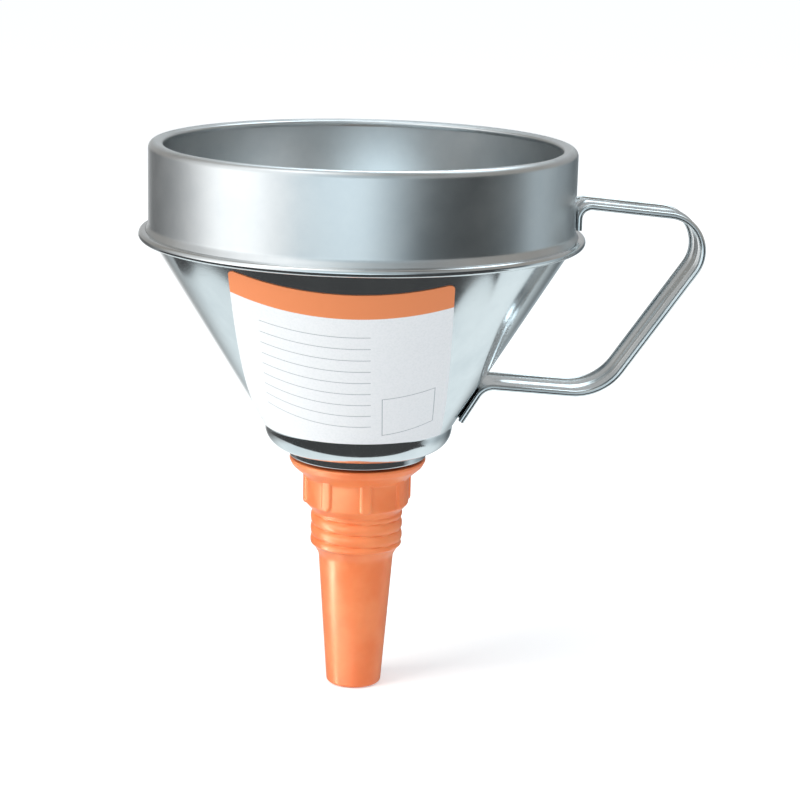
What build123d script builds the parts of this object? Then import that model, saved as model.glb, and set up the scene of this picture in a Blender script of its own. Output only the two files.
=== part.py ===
"""Tinplate filling funnel with a splash collar, a strip handle, a lift-out
brass strainer and a pull-off plastic spout.

Millimetres, +Z up.  The origin is on the funnel's axis, where the taper under
the spout's ridges bears on the edge of a filler neck.  The handle points along +X.
"""
import os
from math import atan2, cos, degrees, radians, sin, tan

from build123d import *

os.makedirs("parts", exist_ok=True)

# ---------------------------------------------------------------- driving sizes
# Pressed sheet: bowl and collar
sheet = 0.45                # tinplate thickness
seat_above_origin = 37.8    # underside of the bowl's floor
step_height = 13.7          # floor to the foot of the cone
cone_height = 69.8          # foot of the cone to the seam's underside
collar_height = 36.2        # seam's underside to the top of the rim
collar_radius = 80.0        # outer radius of the splash collar
cone_foot_radius = 36.8     # outer radius where the cone meets the step
cone_top_inset = 0.6        # cone's outside at the seam, inside the collar's outside
step_radius = 35.2          # outer radius at the foot of the step's wall
shoulder_radius = 8.0       # round from the step's wall to the floor
neck_radius = 17.85         # outer radius of the drawn neck
neck_length = 11.3          # floor's underside to the end of the neck
neck_bend = 1.5             # round between floor and neck, outside
cone_foot_bend = 1.5        # round between the step's wall and the cone
seam_bend = 1.0             # round between the cone and the seam

# Rim and seam of the collar
rim_width = 5.9             # collar wall to the inner lip
rim_drop = 2.8              # depth of the turned-down lip
rim_fall = 0.5              # fall of the rim's top from its land to the wall
rim_land = 1.7              # flat on top of the rim
rim_corner = 2.8            # outer round of the rim
lip_corner = 1.1            # round of the inner lip
flare_width = 1.1           # outward step at the collar's foot
flare_height = 4.4          # height over which the foot flares
seam_bead_radius = 1.6      # outer radius of the rolled seam
seam_overhang = 3.9         # rolled seam's reach beyond the collar's outside
seam_play = 0.05            # play between sheets folded together

# Handle strip
handle_width = 24.0
handle_sheet = 0.9
hem_radius = 1.15           # rolled edge of the strip
rib_half_width = 3.6        # stiffening bead along the middle
rib_rise = 1.0
weld_play = 0.05            # film between a tab and the wall it is welded to
tab_end_below_rim = 30.4
arm_below_rim = 21.1        # upper arm at the collar, under the rim
arm_fall = 5.4              # degrees that the upper arm falls outwards
handle_reach = 127.8        # axis to the strip's middle at its outermost point
grip_lean = 34.8            # degrees that the grip leans from the vertical
lower_arm_rise = 3.8        # degrees that the lower arm rises inwards
lower_arm_below_rim = 90.6  # where the lower arm meets the foot's line
foot_end_below_rim = 104.4
tab_bend = 4.6
outer_bend = 13.8
lower_bend = 21.0
foot_bend = 7.0
rib_gap_at_collar = 2.2     # the rib starts this far out from the collar
rib_gap_at_cone = 6.0       # and ends this far out from the foot's bend

# Paper label, wrapped on the cone
paper = 0.15
label_azimuth = -99.0       # degrees from +X, seen from above
label_top_half_width = 39.7
label_middle_half_width = 38.4
label_foot_half_width = 34.3
label_corner_below_rim = 38.7
label_top_below_rim = 43.6
label_middle_below_rim = 74.0
label_foot_clear = 0.8      # label's lower edge above the cone's foot
label_corner = 2.6

# Strainer
strainer_play = 0.4         # frame to the step's wall
strainer_corner = 8.0       # round of the frame, slacker than the shoulder's inside
strainer_height = 9.5
strainer_opening = 24.3     # radius of the clear opening
strainer_roll = 0.7         # rolled top edge
gauze_thickness = 0.3
gauze_radius = 25.9
gauze_pitch = 3.6
gauze_wire = 0.9            # bars between the openings
clamp_thickness = 0.5
loop_wire = 0.8             # wire radius of the lift loop
loop_height = 18.0          # over the frame's top
loop_foot_depth = 3.8       # feet under the frame's top
loop_bend = 9.0

# Plastic spout
tip_below_origin = 54.7
tip_radius = 10.6
tip_edge = 1.3
spout_wall = 1.5
taper_top_below = 2.0       # where the straight taper starts, under the origin
taper_top_radius = 14.5
ridge_foot_above = 2.2      # lowest ridge's foot above the origin
ridge_count = 3
ridge_pitch = 4.4
ridge_groove_radius = 16.9
ridge_rise = 0.85
grip_foot_above = 18.9      # grip's cylinder starts here
grip_radius = 20.0
grip_rib_count = 8
grip_rib_width = 4.6
grip_rib_rise = 0.95
grip_rib_azimuth = 7.0      # one rib lies this far from the handle's plane
flare_foot_above = 29.3     # the flange starts to open here
flange_radius = 26.2
flange_lip = 1.0            # flange edge under its top face
flange_edge = 0.5
socket_play = 0.3           # neck to socket
socket_spare = 1.5          # neck's end to the socket's floor

# ---------------------------------------------------------------- derived places
floor_under = seat_above_origin
floor_top = floor_under + sheet
cone_foot = floor_under + step_height
seam_under = cone_foot + cone_height
rim_top = seam_under + collar_height
cone_top_radius = collar_radius - cone_top_inset
cone_lean = degrees(atan2(cone_top_radius - cone_foot_radius, cone_height))
cone_run = tan(radians(cone_lean))
ring_axis = Axis.Z


def cone_radius(height: float) -> float:
    """Outer radius of the cone at a height above the origin."""
    return cone_foot_radius + (height - cone_foot) * cone_run


# ---------------------------------------------------------------- funnel bowl
# One pressing: neck, floor, shoulder, step, cone and the rolled seam at its edge.
# The line is the sheet's outside, and the sheet lies inwards of it.
seam_centre = collar_radius + seam_overhang - seam_bead_radius
seam_top = seam_under + 2 * seam_bead_radius
seam_fold_end = collar_radius + flare_width + seam_play
with BuildPart() as funnel_bowl:
    with BuildSketch(Plane.XZ):
        with BuildLine():
            FilletPolyline(
                (neck_radius, floor_under - neck_length),
                (neck_radius, floor_under),
                (step_radius, floor_under),
                (cone_foot_radius, cone_foot),
                (cone_top_radius, seam_under),
                (seam_centre, seam_under),
                radius=(neck_bend, shoulder_radius, cone_foot_bend, seam_bend),
            )
            CenterArc((seam_centre, seam_under + seam_bead_radius), seam_bead_radius, -90, 180)
            Line((seam_centre, seam_top), (seam_fold_end, seam_top))
            offset(amount=sheet, side=Side.LEFT)
        make_face()
    revolve(axis=ring_axis)
funnel_bowl.part.label = "funnel_bowl"
export_step(funnel_bowl.part, "parts/funnel_bowl.step")

# ---------------------------------------------------------------- splash collar
# Rolled rim at the top; the flared foot stands on the bowl's edge, inside its fold.
# The line is the sheet's outside, from the lip over the rim and down to the foot.
foot_top = seam_under + 2 * sheet + seam_play
foot_radius = collar_radius + flare_width
lip_radius = collar_radius - rim_width
with BuildPart() as splash_collar:
    with BuildSketch(Plane.XZ):
        with BuildLine():
            FilletPolyline(
                (lip_radius, rim_top - rim_drop),
                (lip_radius, rim_top),
                (lip_radius + lip_corner + rim_land, rim_top),
                (collar_radius, rim_top - rim_fall),
                (collar_radius, foot_top + flare_height),
                (foot_radius, foot_top + flare_height / 2),
                (foot_radius, foot_top),
                (seam_centre, foot_top),
                radius=(lip_corner, 1.0, rim_corner, 2.5, 1.0, 0.6),
            )
            offset(amount=sheet, side=Side.RIGHT)
        make_face()
    revolve(axis=ring_axis)
splash_collar.part.label = "splash_collar"
export_step(splash_collar.part, "parts/splash_collar.step")

# ---------------------------------------------------------------- strip handle
# One strip in the XZ plane: a tab on the collar, upper arm, leaning grip,
# lower arm and a foot along the cone.  Its edges are hemmed and its middle ribbed.
strip_middle = handle_sheet / 2
tab_line = collar_radius + weld_play + strip_middle
foot_offset = (weld_play + strip_middle) / cos(radians(cone_lean))
tab_end = rim_top - tab_end_below_rim
arm_height = rim_top - arm_below_rim
foot_end = rim_top - foot_end_below_rim
foot_bend_height = rim_top - lower_arm_below_rim
foot_bend_reach = cone_radius(foot_bend_height) + foot_offset


def corner_reach() -> float:
    """Where the upper arm's line meets the grip's line, for the wanted reach.

    The outer bend touches both lines, and its outermost point is at handle_reach.
    """
    fall = radians(arm_fall)
    turn = radians(90 - arm_fall + grip_lean)
    centre = handle_reach - outer_bend
    touch = centre + outer_bend * sin(fall)
    return touch + outer_bend * tan(turn / 2) * cos(fall)


outer_corner = Vector(corner_reach(), 0)
outer_corner.Y = arm_height - (outer_corner.X - tab_line) * tan(radians(arm_fall))
lean_run = tan(radians(grip_lean))
rise_run = tan(radians(lower_arm_rise))
lower_drop = (
    outer_corner.X - foot_bend_reach - lean_run * (outer_corner.Y - foot_bend_height)
) * rise_run / (1 - lean_run * rise_run)
lower_corner = (
    outer_corner.X - lean_run * (outer_corner.Y - foot_bend_height + lower_drop),
    foot_bend_height - lower_drop,
)
strip_points = [
    (tab_line, tab_end),
    (tab_line, arm_height),
    (outer_corner.X, outer_corner.Y),
    lower_corner,
    (foot_bend_reach, foot_bend_height),
    (cone_radius(foot_end) + foot_offset, foot_end),
]
with BuildPart() as handle:
    with BuildLine(Plane.XZ) as strip_path:
        FilletPolyline(*strip_points, radius=(tab_bend, outer_bend, lower_bend, foot_bend))
    strip_start = Plane(origin=strip_path.line @ 0, x_dir=(0, 1, 0), z_dir=strip_path.line % 0)
    with BuildSketch(strip_start):
        with BuildLine():
            ThreePointArc(
                (-rib_half_width, 0),
                (0, rib_rise + strip_middle),
                (rib_half_width, 0),
            )
            Line((-rib_half_width, 0), (rib_half_width, 0))
        make_face()
    sweep(path=strip_path.line)
    rib_start = collar_radius + rib_gap_at_collar
    rib_end = foot_bend_reach + rib_gap_at_cone
    with BuildSketch(Plane.XZ):
        with BuildLine():
            Polyline(
                (0, tab_end - tab_bend),
                (rib_start, tab_end - tab_bend),
                (rib_start, rim_top),
                (0, rim_top),
                close=True,
            )
        make_face()
        with BuildLine():
            Polyline(
                (0, 0),
                (rib_end, 0),
                (rib_end, foot_bend_height + foot_bend),
                (0, foot_bend_height + foot_bend),
                close=True,
            )
        make_face()
    extrude(amount=handle_width, both=True, mode=Mode.SUBTRACT)
    with BuildSketch(strip_start):
        Rectangle(handle_width - hem_radius, handle_sheet)
        with Locations((-handle_width / 2 + hem_radius, 0), (handle_width / 2 - hem_radius, 0)):
            Circle(hem_radius)
    sweep(path=strip_path.line)
handle.part.label = "handle"
export_step(handle.part, "parts/handle.step")

# ---------------------------------------------------------------- paper label
# A rectangle of paper on the cone, seen from its own front as this outline.
label_foot = cone_foot + label_foot_clear
label_plane = Plane(
    origin=(0, 0, 0),
    x_dir=(-sin(radians(label_azimuth)), cos(radians(label_azimuth)), 0),
    z_dir=(cos(radians(label_azimuth)), sin(radians(label_azimuth)), 0),
)
label_corner_height = rim_top - label_corner_below_rim
label_middle_height = rim_top - label_middle_below_rim
cone_slant = cos(radians(cone_lean))
with BuildPart() as label:
    with BuildSketch(Plane.XZ):
        with BuildLine():
            Polyline(
                (cone_radius(cone_foot) + weld_play / cone_slant, cone_foot),
                (cone_radius(seam_under) + weld_play / cone_slant, seam_under),
                (cone_radius(seam_under) + (weld_play + paper) / cone_slant, seam_under),
                (cone_radius(cone_foot) + (weld_play + paper) / cone_slant, cone_foot),
                close=True,
            )
        make_face()
    revolve(axis=ring_axis)
    with BuildSketch(label_plane) as label_front:
        with BuildLine():
            top_edge = ThreePointArc(
                (-label_top_half_width, label_corner_height),
                (0, rim_top - label_top_below_rim),
                (label_top_half_width, label_corner_height),
            )
            right_edge = ThreePointArc(
                top_edge @ 1,
                (label_middle_half_width, label_middle_height),
                (label_foot_half_width, label_foot),
            )
            foot_edge = Line(right_edge @ 1, (-label_foot_half_width, label_foot))
            ThreePointArc(
                foot_edge @ 1,
                (-label_middle_half_width, label_middle_height),
                top_edge @ 0,
            )
        make_face()
        fillet(label_front.vertices().group_by(Axis.Y)[-1], label_corner)
    extrude(amount=collar_radius, mode=Mode.INTERSECT)
label.part.label = "label"
export_step(label.part, "parts/label.step")

# ---------------------------------------------------------------- strainer
# A shallow dish that stands on the bowl's floor inside the step.
frame_radius = step_radius - sheet - strainer_play
frame_top = floor_top + strainer_height
with BuildPart() as strainer_frame:
    with BuildSketch(Plane.XZ):
        with BuildLine():
            FilletPolyline(
                (strainer_opening, floor_top),
                (frame_radius, floor_top),
                (frame_radius, frame_top - strainer_roll),
                radius=strainer_corner,
            )
            offset(amount=sheet, side=Side.LEFT)
        make_face()
        with Locations((frame_radius - strainer_roll, frame_top - strainer_roll)):
            Circle(strainer_roll)
    revolve(axis=ring_axis)
strainer_frame.part.label = "strainer_frame"
export_step(strainer_frame.part, "parts/strainer_frame.step")

gauze_under = floor_top + sheet
gauze_count = int(2 * strainer_opening / gauze_pitch)
with BuildPart() as strainer_gauze:
    with BuildSketch(Plane.XY.offset(gauze_under)):
        Circle(gauze_radius)
        with BuildSketch(mode=Mode.SUBTRACT):
            with GridLocations(gauze_pitch, gauze_pitch, gauze_count, gauze_count):
                Rectangle(gauze_pitch - gauze_wire, gauze_pitch - gauze_wire)
            Circle(strainer_opening, mode=Mode.INTERSECT)
    extrude(amount=gauze_thickness)
strainer_gauze.part.label = "strainer_gauze"
export_step(strainer_gauze.part, "parts/strainer_gauze.step")

clamp_under = gauze_under + gauze_thickness
with BuildPart() as strainer_clamp_ring:
    with BuildSketch(Plane.XY.offset(clamp_under)):
        Circle(gauze_radius)
        Circle(strainer_opening, mode=Mode.SUBTRACT)
    extrude(amount=clamp_thickness)
strainer_clamp_ring.part.label = "strainer_clamp_ring"
export_step(strainer_clamp_ring.part, "parts/strainer_clamp_ring.step")

# The loop's feet are soldered inside the frame's wall.
loop_reach = frame_radius - 2 * strainer_roll - weld_play - loop_wire
loop_foot = frame_top - loop_foot_depth
loop_top = frame_top + loop_height
with BuildPart() as strainer_lift_loop:
    with BuildLine(Plane.XZ) as loop_path:
        FilletPolyline(
            (-loop_reach, loop_foot),
            (-loop_reach, loop_top),
            (loop_reach, loop_top),
            (loop_reach, loop_foot),
            radius=loop_bend,
        )
    with BuildSketch(Plane(origin=loop_path.line @ 0, z_dir=loop_path.line % 0)):
        Circle(loop_wire)
    sweep(path=loop_path.line)
strainer_lift_loop.part.label = "strainer_lift_loop"
export_step(strainer_lift_loop.part, "parts/strainer_lift_loop.step")

# ---------------------------------------------------------------- plastic spout
# Flange, ribbed grip, ridges and a long taper; the neck stands in its socket.
socket_radius = neck_radius + socket_play
socket_floor = floor_under - neck_length - socket_spare
socket_mouth = neck_bend + 2 * socket_play
ridge_top = ridge_foot_above + ridge_count * ridge_pitch
ridge_bore = ridge_groove_radius - spout_wall
grip_inner = min(socket_radius - spout_wall / 2, grip_radius - 2 * spout_wall)
spout_corners = [
    ((tip_radius - spout_wall, -tip_below_origin), 0),
    ((tip_radius, -tip_below_origin), tip_edge),
    ((taper_top_radius, -taper_top_below), 5),
    ((ridge_groove_radius, ridge_foot_above), 1),
    ((ridge_groove_radius, ridge_top), 0.4),
    ((grip_radius, grip_foot_above), 1.0),
    ((grip_radius, flare_foot_above), 1.5),
    ((flange_radius - flange_lip, floor_under - 3 * flange_lip), 2),
    ((flange_radius, floor_under - flange_lip), 0.4),
    ((flange_radius, floor_under), flange_edge),
    ((socket_radius, floor_under), socket_mouth),
    ((socket_radius, socket_floor), 0.5),
    ((grip_inner, socket_floor), 0.3),
    ((ridge_bore, ridge_top), 1),
    ((ridge_bore, ridge_foot_above), 1),
    ((taper_top_radius - spout_wall, -taper_top_below), 5),
]
with BuildPart() as spout:
    with BuildSketch(Plane.XZ):
        with BuildLine():
            FilletPolyline(
                *[place for place, _ in spout_corners],
                radius=[round_size for _, round_size in spout_corners],
                close=True,
            )
        make_face()
        for index in range(ridge_count):
            crest = ridge_foot_above + (index + 0.5) * ridge_pitch
            with Locations((ridge_groove_radius - spout_wall / 2, crest)):
                Ellipse(spout_wall / 2 + ridge_rise, ridge_pitch / 2)
    revolve(axis=ring_axis)
    with BuildSketch(Plane.XY.offset(grip_foot_above)):
        with PolarLocations(grip_radius, grip_rib_count, start_angle=grip_rib_azimuth):
            SlotOverall(grip_rib_width, 2 * grip_rib_rise, rotation=90)
        Circle(socket_radius + spout_wall / 2, mode=Mode.SUBTRACT)
    extrude(amount=flare_foot_above - grip_foot_above + 2 * flange_lip)
spout.part.label = "spout"
export_step(spout.part, "parts/spout.step")
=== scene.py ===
"""Looks of a tinplate filling funnel: a satin splash collar on a bright bowl, a hemmed
strip handle, a lift-out brass strainer, a paper label and an orange polyethylene spout.

Lengths are in millimetres until mm() turns them to metres.  The origin is the CAD
frame's: on the funnel's axis, +Z up, the handle along +X.
"""
import logging
import math
from dataclasses import dataclass, field
from enum import Enum
from typing import Any, Callable, Sequence

import bpy
from mathutils import Matrix, Vector


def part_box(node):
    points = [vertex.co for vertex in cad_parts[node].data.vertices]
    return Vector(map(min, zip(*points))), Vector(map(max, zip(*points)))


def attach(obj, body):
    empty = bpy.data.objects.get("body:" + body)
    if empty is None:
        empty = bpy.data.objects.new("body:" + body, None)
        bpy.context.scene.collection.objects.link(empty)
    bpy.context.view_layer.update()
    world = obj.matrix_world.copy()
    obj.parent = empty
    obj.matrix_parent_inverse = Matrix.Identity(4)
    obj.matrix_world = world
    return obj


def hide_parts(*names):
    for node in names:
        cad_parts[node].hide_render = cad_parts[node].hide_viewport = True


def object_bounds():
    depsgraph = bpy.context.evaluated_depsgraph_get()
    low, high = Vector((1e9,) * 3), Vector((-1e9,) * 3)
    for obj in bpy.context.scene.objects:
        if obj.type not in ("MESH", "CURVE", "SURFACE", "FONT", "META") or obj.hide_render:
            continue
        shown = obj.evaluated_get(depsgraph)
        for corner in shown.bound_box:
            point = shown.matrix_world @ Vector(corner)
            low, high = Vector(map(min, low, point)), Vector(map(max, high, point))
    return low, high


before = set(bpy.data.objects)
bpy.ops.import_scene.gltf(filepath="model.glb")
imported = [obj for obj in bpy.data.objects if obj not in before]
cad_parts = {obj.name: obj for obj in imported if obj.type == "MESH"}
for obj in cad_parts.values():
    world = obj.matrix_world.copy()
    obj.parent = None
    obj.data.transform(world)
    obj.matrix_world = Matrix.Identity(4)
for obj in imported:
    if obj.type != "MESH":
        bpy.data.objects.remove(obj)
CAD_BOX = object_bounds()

log = logging.getLogger("funnel")
FULL_TURN = 2 * math.pi
JOIN = 1e-6  # vertices nearer than this many metres are one


# ------------------------------------------------------------------ units and colours
def mm(length: float) -> float:
    """Millimetres to metres."""
    return length * 0.001


def linear(hex_colour: str) -> tuple[float, float, float, float]:
    """An sRGB hex colour as the linear RGBA that Blender's sockets hold.

    Args:
        hex_colour: Six hex digits, such as "f07a45".

    Returns:
        Linear red, green, blue and an alpha of 1.
    """
    parts = [int(hex_colour[i : i + 2], 16) / 255 for i in (0, 2, 4)]
    lin = [c / 12.92 if c <= 0.04045 else ((c + 0.055) / 1.055) ** 2.4 for c in parts]
    return (lin[0], lin[1], lin[2], 1.0)


def smooth_step(low: float, high: float, value: float) -> float:
    """0 below low, 1 above high and a smooth rise between them."""
    t = min(1.0, max(0.0, (value - low) / (high - low)))
    return t * t * (3 - 2 * t)


# ------------------------------------------------------------------ nodes
def set_node(
    tree: bpy.types.NodeTree,
    node: bpy.types.Node,
    settings: dict[str | int, Any] | None = None,
    links: dict[str | int, bpy.types.NodeSocket] | None = None,
) -> None:
    """Sets a node and feeds its inputs.

    Args:
        tree: The node's tree.
        node: The node.
        settings: Property names, or names or numbers of input sockets, with their values.
        links: Names or numbers of input sockets, with the output that feeds each.
    """
    for key, value in (settings or {}).items():
        if isinstance(key, str) and key in node.bl_rna.properties:
            setattr(node, key, value)
        else:
            node.inputs[key].default_value = value
    for key, source in (links or {}).items():
        tree.links.new(source, node.inputs[key])


def add_node(
    tree: bpy.types.NodeTree,
    kind: str,
    settings: dict[str | int, Any] | None = None,
    links: dict[str | int, bpy.types.NodeSocket] | None = None,
) -> bpy.types.Node:
    """Adds a node with its settings and links.

    Args:
        tree: The node tree that gets the node.
        kind: The node's type, such as "ShaderNodeTexNoise".
        settings: As set_node has them.
        links: As set_node has them.

    Returns:
        The new node.
    """
    node = tree.nodes.new(kind)
    set_node(tree, node, settings, links)
    return node


def add_ramp(
    tree: bpy.types.NodeTree,
    source: bpy.types.NodeSocket,
    stops: Sequence[tuple[float, tuple[float, float, float, float]]],
    interpolation: str = "LINEAR",
) -> bpy.types.Node:
    """Adds a colour ramp.

    Args:
        tree: The node tree that gets the ramp.
        source: The output that drives the ramp.
        stops: Places from 0 to 1 and their linear colours, in rising order.
        interpolation: The ramp's own name for the way between stops.

    Returns:
        The ramp's node.
    """
    ramp = add_node(tree, "ShaderNodeValToRGB", links={"Fac": source})
    ramp.color_ramp.interpolation = interpolation
    elements = ramp.color_ramp.elements
    elements[0].position, elements[0].color = stops[0]
    elements[1].position, elements[1].color = stops[-1]
    for place, colour in stops[1:-1]:
        elements.new(place).color = colour
    return ramp


# ------------------------------------------------------------------ outlines and paths
@dataclass(frozen=True)
class Corner:
    """A corner of an outline or path, with the round that it gets.

    step is the longest run between points on the way to the next corner.
    """

    x: float
    z: float
    round: float = 0.0
    step: float = 1000.0


@dataclass(frozen=True)
class Run:
    """A straight stretch of a path."""

    start: Vector
    end: Vector

    @property
    def length(self) -> float:
        """Length of the stretch."""
        return (self.end - self.start).length


@dataclass(frozen=True)
class Bend:
    """A round stretch of a path.  turn is in radians, above 0 to the left."""

    centre: Vector
    start: Vector
    turn: float

    @property
    def radius(self) -> float:
        """Radius of the round."""
        return (self.start - self.centre).length

    @property
    def length(self) -> float:
        """Length along the round."""
        return self.radius * abs(self.turn)

    def point(self, share: float) -> Vector:
        """The point at a share of the round."""
        return self.centre + Matrix.Rotation(self.turn * share, 2) @ (self.start - self.centre)


def path_parts(corners: Sequence[Corner], closed: bool = False) -> list[Run | Bend]:
    """Splits a line of corners into straight runs and round bends.

    Args:
        corners: The corners in order, with their rounds.
        closed: Whether the last corner joins the first.

    Returns:
        Runs and bends in order, in the corners' own units.
    """
    places = [Vector((c.x, c.z)) for c in corners]
    count = len(places)
    parts: list[Run | Bend] = []
    joints: list[tuple[Vector, Bend | None, Vector]] = []
    for i, corner in enumerate(corners):
        at_end = not closed and i in (0, count - 1)
        if at_end or corner.round <= 0:
            joints.append((places[i], None, places[i]))
            continue
        back = (places[i - 1] - places[i]).normalized()
        ahead = (places[(i + 1) % count] - places[i]).normalized()
        turn = math.pi - back.angle(ahead)
        if turn < 1e-4:
            joints.append((places[i], None, places[i]))
            continue
        side = 1.0 if (-back).x * ahead.y - (-back).y * ahead.x > 0 else -1.0
        cut = corner.round * math.tan(turn / 2)
        first = places[i] + back * cut
        normal = Matrix.Rotation(side * math.pi / 2, 2) @ (-back)
        bend = Bend(first + normal * corner.round, first, side * turn)
        joints.append((first, bend, places[i] + ahead * cut))
    for i in range(count):
        if joints[i][1] is not None:
            parts.append(joints[i][1])
        if i + 1 < count or closed:
            parts.append(Run(joints[i][2], joints[(i + 1) % count][0]))
    return [p for p in parts if p.length > 1e-5]


def outline_points(
    corners: Sequence[Corner],
    closed: bool = False,
    arc_step: float = 8.0,
    hold: float = 0.3,
) -> list[tuple[float, float]]:
    """Points along a rounded outline.

    Args:
        corners: The outline's corners with their rounds.
        closed: Whether the last corner joins the first.
        arc_step: Degrees between points on a round.
        hold: Points this near the ends of a long run keep its faces flat under smooth shading.

    Returns:
        Pairs of radius and height.
    """
    steps = [c.step for c in corners]
    parts = path_parts(corners, closed)
    points: list[Vector] = []
    run_index = 0
    for part in parts:
        if isinstance(part, Bend):
            count = max(2, math.ceil(abs(math.degrees(part.turn)) / arc_step))
            points += [part.point(k / count) for k in range(count)]
            continue
        step = steps[min(run_index, len(steps) - 1)]
        run_index += 1
        shares = [0.0]
        if part.length > 4 * hold:
            shares.append(hold / part.length)
        count = math.ceil(part.length / step)
        shares += [
            k / count for k in range(1, count) if 2 * hold < part.length * k / count < part.length - 2 * hold
        ]
        if part.length > 4 * hold:
            shares.append(1 - hold / part.length)
        points += [part.start.lerp(part.end, s) for s in shares]
    if not closed:
        last = parts[-1]
        points.append(last.end if isinstance(last, Run) else last.point(1.0))
    return [(p.x, p.y) for p in points]


def arc_points(
    centre: tuple[float, float], radius: float, start: float, turn: float, count: int
) -> list[tuple[float, float]]:
    """Points on an arc, without its first.

    Args:
        centre: Radius and height of the arc's centre.
        radius: The arc's own radius.
        start: Angle of its first point, in degrees.
        turn: How far it goes, in degrees.
        count: Number of points.

    Returns:
        Pairs of radius and height.
    """
    angles = [math.radians(start + turn * k / count) for k in range(1, count + 1)]
    return [(centre[0] + radius * math.cos(a), centre[1] + radius * math.sin(a)) for a in angles]


# ------------------------------------------------------------------ modelling by operators
def deselect_all() -> None:
    """Leaves edit mode and selects nothing."""
    if bpy.context.object and bpy.context.object.mode != "OBJECT":
        bpy.ops.object.mode_set(mode="OBJECT")
    bpy.ops.object.select_all(action="DESELECT")


def activate(piece: bpy.types.Object) -> None:
    """Selects one piece alone and makes it active."""
    deselect_all()
    piece.select_set(True)
    bpy.context.view_layer.objects.active = piece


def start_point(name: str, place: Vector) -> bpy.types.Object:
    """A new mesh of one vertex, open in edit mode, to be drawn out from.

    Args:
        name: The piece's name.
        place: Where the vertex is, in metres.

    Returns:
        The new object.
    """
    deselect_all()
    bpy.ops.mesh.primitive_plane_add(size=0.001)
    piece = bpy.context.object
    piece.name = name
    piece.data.name = name
    bpy.ops.object.mode_set(mode="EDIT")
    bpy.ops.mesh.select_all(action="SELECT")
    bpy.ops.mesh.merge(type="CENTER")
    bpy.ops.transform.translate(value=place)
    return piece


def draw_line(points: Sequence[Vector], closed: bool = False) -> None:
    """Draws the selected vertex out along points, in edit mode.

    Args:
        points: The line's points in metres; the selected vertex is at the first.
        closed: Whether the line comes back to its first point.
    """
    ends = list(points[1:]) + ([points[0]] if closed else [])
    here = points[0]
    for there in ends:
        bpy.ops.mesh.extrude_region_move(TRANSFORM_OT_translate={"value": there - here})
        here = there
    if closed:
        bpy.ops.mesh.select_all(action="SELECT")
        bpy.ops.mesh.remove_doubles(threshold=JOIN)


def face_outwards(piece: bpy.types.Object, probe: Vector, outwards: Vector) -> None:
    """Turns a sheet's faces to one side, told by the face nearest a probe.

    Args:
        piece: The sheet, in edit mode.
        probe: A place on the sheet, in metres.
        outwards: The way its face there should look.
    """
    bpy.ops.mesh.select_all(action="SELECT")
    bpy.ops.mesh.normals_make_consistent(inside=False)
    bpy.ops.object.mode_set(mode="OBJECT")
    nearest = min(piece.data.polygons, key=lambda f: (f.center - probe).length_squared)
    inverted = nearest.normal.dot(outwards) < 0
    bpy.ops.object.mode_set(mode="EDIT")
    if inverted:
        bpy.ops.mesh.select_all(action="SELECT")
        bpy.ops.mesh.flip_normals()


def lathe(
    name: str,
    outline: Sequence[tuple[float, float]],
    steps: int,
    closed: bool = False,
    looks: tuple[float, float, float, float] | None = None,
) -> bpy.types.Object:
    """Turns an outline about the funnel's axis.

    Args:
        name: The piece's name.
        outline: Pairs of radius and height in millimetres.
        steps: Divisions around the axis.
        closed: Whether the outline is a closed loop, which makes a solid ring.
        looks: For an open outline, the radius and height of a place on it and the
            radial and upward parts of the way that its faces look there.

    Returns:
        The turned piece, in object mode.
    """
    points = [Vector((mm(r), 0, mm(z))) for r, z in outline]
    piece = start_point(name, points[0])
    draw_line(points, closed)
    bpy.ops.mesh.select_all(action="SELECT")
    bpy.ops.mesh.spin(steps=steps, angle=FULL_TURN, center=(0, 0, 0), axis=(0, 0, 1))
    bpy.ops.mesh.select_all(action="SELECT")
    bpy.ops.mesh.remove_doubles(threshold=JOIN)
    if looks is None:
        bpy.ops.mesh.normals_make_consistent(inside=False)
    else:
        face_outwards(piece, Vector((mm(looks[0]), 0, mm(looks[1]))), Vector((looks[2], 0, looks[3])))
    bpy.ops.object.mode_set(mode="OBJECT")
    return piece


def apply_modifiers(piece: bpy.types.Object) -> None:
    """Applies every modifier of a piece, in order."""
    activate(piece)
    for modifier in list(piece.modifiers):
        bpy.ops.object.modifier_apply(modifier=modifier.name)


def give_sheet(piece: bpy.types.Object, thickness: float, offset: float = -1.0) -> None:
    """Gives a surface its sheet thickness.

    Args:
        piece: The surface.
        thickness: In millimetres.
        offset: -1 puts the sheet behind the faces, +1 in front of them.
    """
    wall = piece.modifiers.new("wall", "SOLIDIFY")
    wall.thickness = mm(thickness)
    wall.offset = offset
    wall.use_even_offset = True
    apply_modifiers(piece)


def shade(piece: bpy.types.Object, angle: float = 38.0) -> None:
    """Shades a piece smooth, apart from edges sharper than an angle in degrees."""
    activate(piece)
    bpy.ops.object.shade_smooth_by_angle(angle=math.radians(angle))


def move_points(piece: bpy.types.Object, move: Callable[[Vector], Vector]) -> None:
    """Puts every vertex of a mesh where a function says.

    Args:
        piece: The mesh.
        move: Gets a vertex's place in metres and gives its new one.
    """
    for vertex in piece.data.vertices:
        vertex.co = move(vertex.co.copy())
    piece.data.update()


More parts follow.
